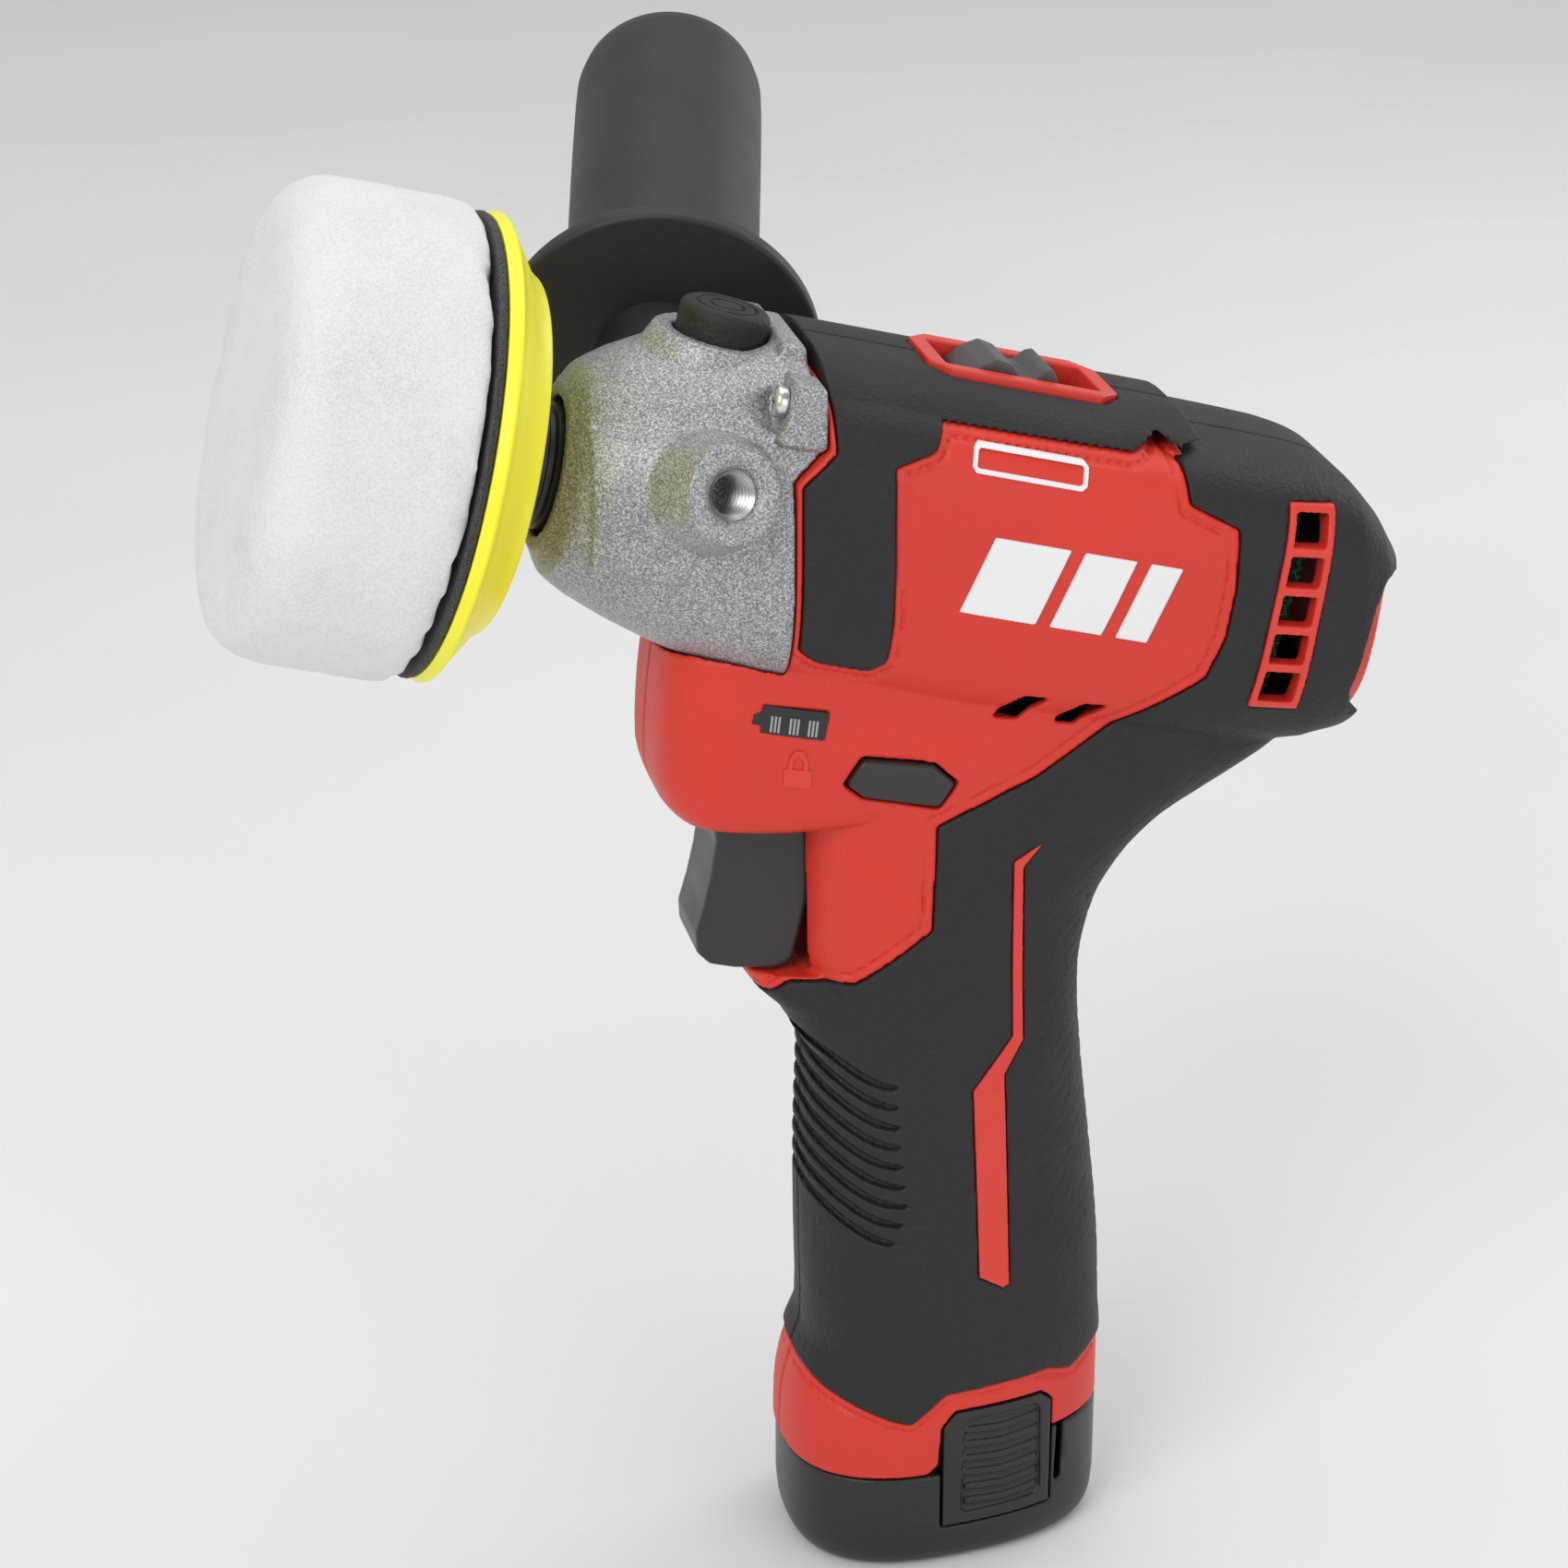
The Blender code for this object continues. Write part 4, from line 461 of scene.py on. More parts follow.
def light_studio():
    middle = (0.0, 0.0, 0.12)
    area_light("key", (-0.75, -0.75, 0.95), middle, (0.7, 0.7), 6.5)
    area_light("front_fill", (0.55, -1.1, 0.45), middle, (0.8, 0.9), 2.2)
    area_light("top", (0.1, 0.2, 1.1), middle, (0.9, 0.9), 3.0)
    area_light("rim", (1.0, 0.5, 0.5), middle, (0.5, 0.9), 2.5)
    world = bpy.data.worlds.new("studio")
    world.use_nodes = True
    world.node_tree.nodes["Background"].inputs["Color"].default_value = (1.0, 1.0, 1.0, 1)
    world.node_tree.nodes["Background"].inputs["Strength"].default_value = 0.55
    bpy.context.scene.world = world
    bpy.context.scene.view_settings.view_transform = "Standard"


# ------------------------------------------------------------------ materials
class Nodes:
    """A material's node tree, with its texture coordinates in millimetres of the model's frame."""

    def __init__(self, name):
        self.material = bpy.data.materials.new(name)
        self.material.use_nodes = True
        self.tree = self.material.node_tree
        self.shader = self.tree.nodes["Principled BSDF"]
        coordinates = self.add("ShaderNodeTexCoord")
        scale = self.add("ShaderNodeVectorMath")
        scale.operation = "SCALE"
        scale.inputs["Scale"].default_value = 1000.0
        self.link(coordinates.outputs["Object"], scale.inputs[0])
        self.position = scale.outputs[0]

    def add(self, kind):
        return self.tree.nodes.new(kind)

    def link(self, a, b):
        self.tree.links.new(a, b)

    def noise(self, scale, detail=2.0, roughness=0.5):
        node = self.add("ShaderNodeTexNoise")
        node.inputs["Scale"].default_value = scale
        node.inputs["Detail"].default_value = detail
        node.inputs["Roughness"].default_value = roughness
        self.link(self.position, node.inputs["Vector"])
        return node.outputs["Fac"]

    def cells(self, scale, feature="F1"):
        node = self.add("ShaderNodeTexVoronoi")
        node.feature = feature
        node.inputs["Scale"].default_value = scale
        self.link(self.position, node.inputs["Vector"])
        return node.outputs["Distance"]

    def ramp(self, value, stops):
        """stops are (place, color)."""
        node = self.add("ShaderNodeValToRGB")
        ramp = node.color_ramp
        while len(ramp.elements) < len(stops):
            ramp.elements.new(0.5)
        for element, (place, color) in zip(ramp.elements, stops):
            element.position = place
            element.color = (*color, 1)
        self.link(value, node.inputs["Fac"])
        return node.outputs["Color"]

    def spread(self, value, low, high, start=0.3, end=0.7):
        node = self.add("ShaderNodeMapRange")
        node.inputs["From Min"].default_value = start
        node.inputs["From Max"].default_value = end
        node.inputs["To Min"].default_value = low
        node.inputs["To Max"].default_value = high
        self.link(value, node.inputs["Value"])
        return node.outputs["Result"]

    def math(self, operation, a, b):
        node = self.add("ShaderNodeMath")
        node.operation = operation
        for socket, value in zip(node.inputs, (a, b)):
            if isinstance(value, (int, float)):
                socket.default_value = value
            else:
                self.link(value, socket)
        return node.outputs[0]

    def bump(self, height, depth, strength=1.0, base=None):
        """depth is in millimetres."""
        node = self.add("ShaderNodeBump")
        node.inputs["Strength"].default_value = strength
        node.inputs["Distance"].default_value = depth * MM
        self.link(height, node.inputs["Height"])
        if base is not None:
            self.link(base, node.inputs["Normal"])
        return node.outputs["Normal"]

    def done(self, color=None, roughness=None, normal=None, **constants):
        for socket, value in (("Base Color", color), ("Roughness", roughness), ("Normal", normal)):
            if value is not None:
                self.link(value, self.shader.inputs[socket])
        for key, value in constants.items():
            self.shader.inputs[key.replace("_", " ")].default_value = value
        return self.material


def shade(color, factor):
    return tuple(min(1.0, c * factor) for c in color)


def moulded(name, color, rough=0.45, grain=2.4, depth=0.05, mottle=0.1, specular=0.5):
    """Spark-eroded moulded plastic: fine pits, with soft clouding and rubbed patches."""
    n = Nodes(name)
    clouds = n.noise(0.06, 4.0, 0.6)
    pits = n.noise(grain, 3.0, 0.7)
    tint = n.math("ADD", n.math("MULTIPLY", clouds, 0.65), n.math("MULTIPLY", pits, 0.35))
    tone = n.ramp(tint, [(0.25, shade(color, 1 - mottle)), (0.5, color), (0.75, shade(color, 1 + mottle))])
    normal = n.bump(pits, depth, 0.7, n.bump(clouds, 0.05, 0.3))
    return n.done(tone, n.spread(n.math("ADD", clouds, n.math("MULTIPLY", pits, 0.3)), rough - 0.07, rough + 0.1, 0.4, 0.9),
                  normal, Specular_IOR_Level=specular)


def leathery(name, color, rough=0.55, cell=1.5, depth=0.09):
    """Soft rubber with a leather grain: small rounded cells with creases between them."""
    n = Nodes(name)
    clouds = n.noise(0.05, 4.0, 0.6)
    warp = n.noise(cell * 0.8, 2.0)
    grain = n.cells(cell, "SMOOTH_F1")
    fine = n.noise(cell * 4.0, 2.0)
    height = n.math("SUBTRACT", n.math("MULTIPLY", warp, 0.7), grain)
    tone = n.ramp(n.math("ADD", n.math("MULTIPLY", clouds, 0.7), n.math("MULTIPLY", fine, 0.3)),
                  [(0.25, shade(color, 0.84)), (0.5, color), (0.75, shade(color, 1.2))])
    normal = n.bump(height, depth, 0.8, n.bump(fine, 0.02, 0.5))
    return n.done(tone, n.spread(n.math("ADD", clouds, n.math("MULTIPLY", grain, 0.25)), rough - 0.06, rough + 0.12, 0.4, 0.8),
                  normal, Specular_IOR_Level=0.42)


def cast_metal(name, color, rough=0.42, sparkle=2.2):
    """Silver-painted casting: bright and dark flake specks painted into the colour as painted glints and painted
    shade, over a slightly uneven skin.
    """
    n = Nodes(name)
    clouds = n.noise(0.07, 3.0)
    flakes = n.cells(sparkle * 1.6)
    fine = n.noise(sparkle, 4.0, 0.8)
    flake_relief_and_painted_glints = n.math("ADD", n.math("MULTIPLY", fine, 0.75), n.math("MULTIPLY", flakes, 0.3))
    # the colour speckle is painted sparkle: bright specks are painted glints, dark specks are painted shade of unlit
    # flakes
    tone = n.ramp(flake_relief_and_painted_glints, [(0.38, shade(color, 0.4)), (0.52, color), (0.66, shade(color, 2.1))])
    normal = n.bump(flake_relief_and_painted_glints, 0.07, 0.65, n.bump(clouds, 0.25, 0.3))
    return n.done(tone, n.spread(flake_relief_and_painted_glints, rough - 0.12, rough + 0.14), normal, Metallic=0.42)


def turned_metal(name, color, rough=0.25, metallic=1.0):
    """Machined steel: faint tool marks and handling dullness."""
    n = Nodes(name)
    clouds = n.noise(0.4, 4.0, 0.6)
    marks = n.noise(5.0, 2.0, 0.6)
    tone = n.ramp(clouds, [(0.3, shade(color, 0.78)), (0.7, shade(color, 1.12))])
    return n.done(tone, n.spread(clouds, rough - 0.06, rough + 0.14), n.bump(marks, 0.02, 0.5), Metallic=metallic)


def foam(name):
    """Open-pored white polishing foam, with painted shade in its pores and random clouding."""
    n = Nodes(name)
    pores = n.cells(2.1)
    small = n.cells(4.4)
    clouds = n.noise(0.05, 3.0)
    height = n.math("ADD", n.math("MULTIPLY", pores, 0.7), n.math("MULTIPLY", small, 0.45))
    tint = n.math("ADD", n.math("MULTIPLY", height, 0.5), n.math("MULTIPLY", clouds, 0.5))
    # the colour darkens where the pores sink in: painted shade in the pores, mixed with random clouding
    tone = n.ramp(tint, [(0.2, (0.6, 0.59, 0.6)), (0.45, (0.75, 0.74, 0.75)), (0.7, (0.82, 0.81, 0.82))])
    return n.done(tone, n.spread(tint, 0.86, 0.98), n.bump(height, 0.17, 0.8), Specular_IOR_Level=0.15,
                  Sheen_Weight=0.15, Sheen_Roughness=0.5)


def hook_tape(name):
    n = Nodes(name)
    fuzz = n.noise(3.5, 5.0, 0.8)
    loops = n.cells(2.2)
    tone = n.ramp(fuzz, [(0.3, (0.004, 0.004, 0.004)), (0.62, (0.02, 0.02, 0.021)), (0.8, (0.07, 0.07, 0.07))])
    return n.done(tone, n.spread(fuzz, 0.85, 1.0), n.bump(n.math("ADD", fuzz, loops), 0.5, 1.0), Sheen_Weight=0.3)


def glossy(name, color):
    """Smooth polyurethane with a faint orange peel."""
    n = Nodes(name)
    peel = n.noise(0.35, 3.0)
    clouds = n.noise(0.04, 3.0)
    tone = n.ramp(clouds, [(0.3, shade(color, 0.96)), (0.6, color), (0.8, shade(color, 1.03))])
    return n.done(tone, n.spread(peel, 0.34, 0.46), n.bump(peel, 0.03, 0.4), Coat_Weight=0.1, Coat_Roughness=0.3)


def wound_copper(name):
    n = Nodes(name)
    wave = n.add("ShaderNodeTexWave")
    wave.inputs["Scale"].default_value = 0.6
    n.link(n.position, wave.inputs["Vector"])
    tone = n.ramp(wave.outputs["Fac"], [(0.1, (0.2, 0.06, 0.02)), (0.6, (0.62, 0.25, 0.1))])
    return n.done(tone, n.spread(n.noise(1.5), 0.25, 0.45), n.bump(wave.outputs["Fac"], 0.3), Metallic=0.9)


def board(name):
    n = Nodes(name)
    pads = n.cells(0.5, "DISTANCE_TO_EDGE")
    tone = n.ramp(pads, [(0.03, (0.1, 0.35, 0.16)), (0.08, (0.01, 0.1, 0.04))])
    return n.done(tone, n.spread(n.noise(0.8), 0.3, 0.5), n.bump(pads, 0.08))


RED = (0.66, 0.031, 0.016)
M = {
    "red": moulded("red_moulded_plastic", RED, 0.46, 2.3, 0.06, 0.1),
    "red_smooth": moulded("red_smooth_plastic", (0.7, 0.04, 0.025), 0.36, 3.5, 0.02, 0.07),
    "rubber": leathery("grained_black_rubber", (0.015, 0.0138, 0.0143), 0.56, 1.35, 0.17),
    "knurl": leathery("plain_black_rubber", (0.026, 0.025, 0.026), 0.6, 2.6, 0.05),
    "handle": moulded("handle_black_plastic", (0.019, 0.0195, 0.021), 0.5, 2.1, 0.1, 0.16),
    "black": moulded("black_moulded_plastic", (0.014, 0.014, 0.015), 0.36, 3.0, 0.03, 0.12),
    "grey": moulded("grey_moulded_plastic", (0.065, 0.063, 0.062), 0.38, 3.0, 0.03, 0.12),
    "dark_grey": moulded("dark_trigger_plastic", (0.026, 0.023, 0.021), 0.34, 2.6, 0.035, 0.12),
    "silver": cast_metal("painted_silver_casting", (0.29, 0.295, 0.305)),
    "plain_silver": cast_metal("plain_silver_casting", (0.45, 0.45, 0.46), 0.4, 3.0),
    "steel": turned_metal("bright_steel", (0.72, 0.72, 0.73), 0.16),
    "plain_steel": turned_metal("satin_steel", (0.5, 0.5, 0.51), 0.3),
    "dark_steel": turned_metal("blackened_steel", (0.16, 0.16, 0.17), 0.38),
    "copper": wound_copper("wound_copper"),
    "yellow": glossy("yellow_polyurethane", (0.98, 0.93, 0.03)),
    "foam": foam("white_foam"),
    "hook": hook_tape("black_hook_tape"),
    "board": board("green_circuit_board"),
    "wrap": glossy("blue_cell_wrap", (0.04, 0.12, 0.36)),
    "pale_print": moulded("pale_print", (0.34, 0.34, 0.35), 0.45, 3.0, 0.02, 0.08),
    "white": moulded("white_print", (0.83, 0.83, 0.84), 0.42, 3.0, 0.02, 0.04),
}


def finish_piece(obj, name, look, body, *replaced):
    """Names the piece, gives it its material and slot, and lets it ride on its body."""
    obj.name = name
    obj.data.name = name
    obj.data.materials.clear()
    obj.data.materials.append(M[look])
    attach(obj, body)
    if replaced:
        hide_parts(*replaced)
    return obj


def joined(name, objects):
    """One object made of several that don't overlap."""
    bm = bmesh.new()
    for obj in objects:
        bm.from_mesh(obj.data)
    drop(*objects)
    mesh = bpy.data.meshes.new(name)
    bm.to_mesh(mesh)
    bm.free()
    return new_object(name, mesh)


def copy_of(obj):
    return new_object(obj.name + "_copy", obj.data.copy())


def half_box(side):
    low, high = sorted((side * (HALF_GAP + 0.013), side * FAR))
    return box("half", (-FAR, low, -20), (FAR, high, 300))


def on_skin(name, outline, side, height, sink=0.5, voxel=0.22, rounds=3, place=None):
    """A thin raised patch that follows the housing's skin on one side."""
    low, high = sorted((side * 6.0, side * FAR / 2))
    if place is None:
        patch = prism(name, outline, low, high)
    else:
        patch = extruded(name, outline, -high, -low, place @ SIDEWAYS)
    cut(patch, housing_form("above", height), "INTERSECT")
    cut(patch, housing_form("below", -sink))
    return remesh(patch, voxel, rounds)


# ------------------------------------------------------------------ the housing
def octagon(x0, x1, y, corner):
    return [(x0, -y + corner), (x0 + corner, -y), (x1 - corner, -y), (x1, -y + corner),
            (x1, y - corner), (x1 - corner, y), (x0 + corner, y), (x0, y - corner)]


def head_rings(grow, start, count=96):
    stations = [
        # x, half width, top, bottom, power
        (-18.5, 13.5, 13.5, 13.5, 2.0), (-15.9, 17.6, 17.6, 17.4, 2.0), (-11.5, 20.4, 20.8, 19.9, 2.0),
        (-5.0, 22.9, 24.2, 22.4, 2.0), (2.5, 24.7, 26.6, 24.6, 2.1), (10.5, 25.9, 27.8, 26.2, 2.3),
        (19.5, 26.5, 28.6, 27.0, 2.6), (40.0, 26.7, 29.0, 27.2, 2.9),
    ]
    rows = smooth_stations(stations, 4)
    if start < -18.5:
        rows.insert(0, (start, 13.5, 13.5, 13.5, 2.0))
    return [upright_ring(x, 0.0, top + grow, bottom + grow, width + grow, power, power, count)
            for x, width, top, bottom, power in rows]


def tower_ring(z, grow):
    return level_ring(z, -20.9 - grow, 19.0 + grow, 15.6 + grow, 2.6, 0.1)


def battery_ring(z, inset):
    return level_ring(z, BATTERY_FRONT + inset, BATTERY_REAR - inset, BATTERY_HALF_WIDTH - inset, 2.5, 0.16, 96)


def grip_grooves():
    """Wavy grooves round the front of the grip, one above another."""
    count, thickness = 9, 1.9
    made = []
    for i in range(count):
        share = i / (count - 1)
        front = Vector((-30.5, 104.8 - 29.6 * share))
        back = Vector((-9.0, 95.6 - 30.0 * share))
        line = []
        for k in range(13):
            t = k / 12
            point = front.lerp(back, t)
            point.y += 0.7 * math.sin(t * math.pi * 2.0) - 1.9 * math.sin(t * math.pi)
            line.append(point)
        widths = [thickness * (1 - 0.85 * (k / 12) ** 3) / 2 for k in range(13)]
        outline = [(p.x, p.y + w) for p, w in zip(line, widths)]
        outline += [(p.x, p.y - w) for p, w in reversed(list(zip(line, widths)))]
        made.append(prism("groove", outline))
    return joined("grooves", made)


def knurl_cuts():
    """Crossed slanting grooves over the rear of the grip."""
    sets = []
    for slope, low in ((1, 50.0), (-1, 63.3)):
        made = []
        for i in range(23):
            z = low + i * 3.6
            rise = slope * 30.0
            outline = [(11.5, z - 0.35), (11.5, z + 0.35), (45.0, z + 0.35 + rise), (45.0, z - 0.35 + rise)]
            made.append(prism("knurl", outline))
        sets.append(joined("knurls", made))
    return sets


def outline_groove(region, offset, width):
    """A ring-shaped cutter that runs round the outside of a region."""
    ring = prism("ring", grown(region, offset + width))
    cut(ring, prism("ring_core", grown(region, offset), -FAR, FAR))
    return ring


def make_housing():
    outer = housing_form("outer", 0.0)
    hollow = barrel_form("hollow", -WALL, front=HOUSING_FRONT - 6)
    cut(hollow, [
        loft("tower_room", [tower_ring(z, 0.5) for z in (10, 97)]),
        loft("switch_room", [level_ring(z, -21.5, 18.6, 14.4, 3.0) for z in (95, 165)]),
        block_form("block_room", -WALL)], "UNION")
    front_cut = prism("front_cut", [(-FAR, RIM_LOW), (HOUSING_FRONT, RIM_LOW), (HOUSING_TOP_FRONT, RIM_HIGH),
                                    (HOUSING_TOP_FRONT, 260), (-FAR, 260)])
    head_room = loft("head_room", head_rings(0.35, -24.5), BARREL)
    cut(head_room, prism("behind", [(HOUSING_FRONT - 0.15, 100), (HOUSING_FRONT - 0.15, 260), (FAR, 260), (FAR, 100)]))
    slot = box("slot", (-43.6, -8.6, 115.1), (-17, 8.6, 145.2))
    lock_hole = prism("lock_hole", grown(LOCK_OFF_OUTLINE, 0.4))
    vents = joined("vents", [prism("vent", outline) for outline in SIDE_VENTS + [grown(REAR_VENT_OUTLINE, 0.9)]])
    window = box("window", (40.5, -6.8, 16), (67.5, 6.8, 40), BARREL)
    rail = box("rail", (36.5, -8.2, 23.7), (73.5, 8.2, 26.3), BARREL)
    fork_room = box("fork_room", (17, -5.5, 16), (57.5, 5.5, 24.5), BARREL)
    collar = prism("collar", COLLAR_CUT)
    vent_pocket = prism("vent_pocket", [(0.2, 163.6), (6.2, 169.2), (23.4, 165.7), (16.5, 158.7)])
    cut(vent_pocket, housing_form("pocket_floor", -1.5), "INTERSECT")
    openings = [front_cut, head_room, slot, lock_hole, vents, vent_pocket, window, rail, fork_room, collar]

    lip_region = [(x + RED_LIP if x in (HOUSING_FRONT, HOUSING_TOP_FRONT) else x, z) for x, z in BAND_REGION]
    lip_region[1] = (HOUSING_TOP_FRONT + RED_LIP, RIM_HIGH - 0.4)
    lip_region[2] = (HOUSING_FRONT + RED_LIP, RIM_LOW - 0.4)
    seat = extruded("seat", octagon(37.2, 70.8, 10.1, 3.7), 17.0, 40.0, BARREL)

    floor = housing_form("groove_floor", -0.7)
    band_ring = outline_groove(lip_region, 1.3, 0.85)
    grip_ring = outline_groove(GRIP_REGION, 1.3, 0.85)
    cut(band_ring, floor, keep=True)
    cut(grip_ring, floor, keep=True)
    band_cut = prism("band_cut", grown(lip_region, 0.12))
    grip_cut = prism("grip_cut", grown(GRIP_REGION, 0.12))
    gauge = prism("gauge_pocket", grown(GAUGE_OUTLINE, 0.25), -FAR / 2, -BLOCK_HALF_WIDTH - 0.2)
    for side, word in ((-1, "left"), (1, "right")):
        half = half_box(side)
        cut(half, outer, "INTERSECT", keep=True)
        cut(half, [hollow] + openings + [band_cut, grip_cut, band_ring, grip_ring], keep=True)
        if side < 0:
            cut(half, gauge)
        else:
            for x, z, y in HOUSING_SCREWS:
                hole = lathe("hole", [(0, -0.4), (2.9, -0.4), (2.9, 20), (0, 20)], 32,
                             Matrix.Translation(Vector((x, y, z)) * MM) @ Matrix.Rotation(-math.pi / 2, 4, "X"))
                cut(half, hole)
        remesh(half, 0.42, 3, 0.5, 0.4)
        finish_piece(half, "shell_" + word, "red", "housing", "housing_" + word)
    drop(floor, band_cut, grip_cut)

    proud = housing_form("proud", PROUD)
    saddle = barrel_form("saddle", PROUD)
    cut(saddle, barrel_form("raised", 0.0, SADDLE_TOP, 3.0), "UNION")
    accent = prism("accent_seat", grown(ACCENT_OUTLINE, 0.15))
    inlay = prism("inlay_seat", grown(REAR_INLAY_OUTLINE, 0.12))
    grooves = grip_grooves()
    cut(grooves, housing_form("deep_floor", -0.9))
    knurls = knurl_cuts()
    knurl_floor = housing_form("knurl_floor", -0.35)
    for knurl in knurls:
        cut(knurl, knurl_floor, keep=True)
    accent_floor = housing_form("accent_floor", -1.0)
    cut(accent, accent_floor, keep=True)
    for side, word in ((-1, "left"), (1, "right")):
        low, high = sorted((side * HALF_GAP, side * FAR / 2))
        band = prism("band", lip_region, low, high)
        cut(band, saddle, "INTERSECT", keep=True)
        cut(band, hollow, keep=True)
        cut(band, [seat, fork_room, rail, head_room], keep=True)
        remesh(band, 0.42, 3, 0.5, 0.45)
        finish_piece(band, "band_cover_" + word, "rubber", "housing", "band_overmould_" + word)
        grip = prism("grip", GRIP_REGION, low, high)
        cut(grip, proud, "INTERSECT", keep=True)
        cut(grip, hollow, keep=True)
        cut(grip, [vents, collar, inlay, grooves, accent] + knurls, keep=True)
        remesh(grip, 0.42, 2, 0.5, 0.45)
        finish_piece(grip, "grip_cover_" + word, "rubber", "housing", "grip_overmould_" + word)
        strip = prism("strip", ACCENT_OUTLINE, *sorted((side * 3.0, side * 50.0)))
        cut(strip, housing_form("strip_top", 0.65), "INTERSECT")
        cut(strip, accent_floor, keep=True)
        remesh(strip, 0.2, 3)
        finish_piece(strip, "accent_strip_" + word, "red_smooth", "housing")
        frame_piece = prism("vent_frame", grown(REAR_VENT_OUTLINE, 0.9), *sorted((side * 3.0, side * 50.0)))
        cut(frame_piece, prism("vent_inside", grown(REAR_VENT_OUTLINE, -0.35)))
        bars = []
        for i in range(1, 5):
            t = i / 5
            left = Vector(REAR_VENT_OUTLINE[0]).lerp(Vector(REAR_VENT_OUTLINE[3]), t)
            right = Vector(REAR_VENT_OUTLINE[1]).lerp(Vector(REAR_VENT_OUTLINE[2]), t)
            reach = (right - left).normalized() * 0.6
            left -= reach
            right += reach
            bars.append(prism("bar", [(left.x, left.y - 0.75), (right.x, right.y - 0.75),
                                      (right.x, right.y + 0.75), (left.x, left.y + 0.75)],
                              *sorted((side * 3.6, side * 47.0))))
        cut(frame_piece, bars, "UNION")
        cut(frame_piece, housing_form("frame_top", 0.9), "INTERSECT")
        cut(frame_piece, housing_form("frame_back", -2.4))
        remesh(frame_piece, 0.25, 3)
        finish_piece(frame_piece, "rear_vent_frame_" + word, "red_smooth", "housing")
        rear = prism("rear", REAR_INLAY_OUTLINE, *sorted((side * (HALF_GAP + 0.02), side * 50.0)))
        cut(rear, housing_form("rear_top", -0.9), "INTERSECT")
        cut(rear, hollow, keep=True)
        remesh(rear, 0.3, 3)
        finish_piece(rear, "rear_inlay_" + word, "red", "housing")
    drop(hollow, proud, saddle, band_ring, grip_ring, grooves, knurl_floor, accent, accent_floor, inlay, outer, seat, *knurls)
    drop(*openings)

    surround = extruded("surround", octagon(37.5, 70.5, 9.8, 3.6), 25.0, 30.3, BARREL)
    cut(surround, box("hole", (40.5, -6.8, 10), (67.5, 6.8, 60), BARREL))
    cut(surround, barrel_form("under", 0.3))
    remesh(surround, 0.25, 4)
    finish_piece(surround, "selector_surround", "red_smooth", "housing", "selector_window_frame")


HOUSING_SCREWS = [(-45.5, 166.0, 18.2), (-14.0, 134.0, 17.0), (20.0, 190.0, 25.0)]


def boss_matrix(side):
    direction = Vector((math.tan(BOSS_BACK_TILT), side, math.tan(BOSS_UP_TILT))).normalized()
    return BARREL @ direction.to_track_quat("Z", "Y").to_matrix().to_4x4()


def cone(name, low_radius, high_radius, low, high, place, steps=64):
    return lathe(name, [(0, low), (low_radius, low), (high_radius, high), (0, high)], steps, place)


def make_gear_head():
    head = loft("head", head_rings(0, -18.5), BARREL)
    upright = BARREL @ Matrix.Translation(Vector((4.6, 0, 0)) * MM)
    raised = loft("raised", head_rings(0.9, -19.0), BARREL)
    for side in (-1, 1):
        panel = extruded("panel", [(-16.5, 11.2), (-4.0, 13.4), (3.4, 13.0), (2.0, -8.6), (-11.8, -10.6)],
                         *sorted((-side * 5.0, -side * 40.0)), BARREL @ SIDEWAYS)
        cut(panel, raised, "INTERSECT", keep=True)
        cut(head, panel, "UNION")
        cut(head, cone("boss", 11.4, 7.9, 18, 32.1, boss_matrix(side)), "UNION")
    drop(raised)
    cut(head, [
        cone("seat", 15.0, 10.8, 17, 26.4, upright), box("hump", (12.1, -10.4, 18), (40, 10.4, 29.3), BARREL, 1.5),
        box("lug", (11.0, -24.5, 16.5), (40, -16.1, 26.8), BARREL, 1.2),
        box("lug", (11.0, 16.1, 16.5), (40, 24.5, 26.8), BARREL, 1.2)], "UNION")
    rim = prism("rim", [(HOUSING_FRONT - 0.3, 100), (HOUSING_FRONT - 0.3, RIM_LOW + 0.2),
                        (HOUSING_TOP_FRONT - 0.3, RIM_HIGH + 0.2), (HOUSING_TOP_FRONT - 0.3, 300), (FAR, 300), (FAR, 100)])
    scoops = [cone("scoop", 0.6, 5.2, -8.0, 11.75, ALONG @ Matrix.Translation(Vector((-22.8, 20.6 * s, 0)) * MM))
              for s in (-1, 1)]
    bore = lathe("bore", [(0, -21), (11.4, -21), (11.4, -14.8), (9.3, -14.8), (9.3, -7.6), (14.6, -7.5), (18, -3),
                          (20.4, 14), (22, 15.4), (22.2, 60), (0, 60)], 96)
    hole = lathe("button_hole", [(0, 10), (2.2, 10), (2.2, 22.3), (7.8, 22.3), (7.8, 45), (0, 45)], 64, upright)
    screws = [cone("bore", 1.7, 1.7, 8, 60, ALONG @ Matrix.Translation(Vector((-22.6, 20.3 * s, 0)) * MM), 24)
              for s in (-1, 1)]
    cut(head, [rim, bore, hole] + scoops + screws)
    for side in (-1, 1):
        thread = [(0, 21.1), (4.0, 21.1), (4.0, 30.9), (5.6, 32.5), (5.6, 60), (0, 60)]
        cut(head, lathe("thread", thread, 64, boss_matrix(side)))
    remesh(head, 0.42, 6, 0.55, 0.6)
    finish_piece(head, "head_casting", "silver", "housing", "gear_head")

    profile = [(4.05, 21.4)]
    turns, pitch = 7, 1.25
    for i in range(turns):
        z = 21.6 + i * pitch
        profile += [(3.95, z), (3.2, z + 0.55), (3.2, z + 0.7)]
    profile += [(3.95, 21.6 + turns * pitch), (4.7, 31.3), (5.0, 31.3), (4.05, 29.6)]
    threads = lathe_ring("threads", profile, boss_matrix(-1))
    finish_piece(threads, "thread_insert", "plain_steel", "housing")


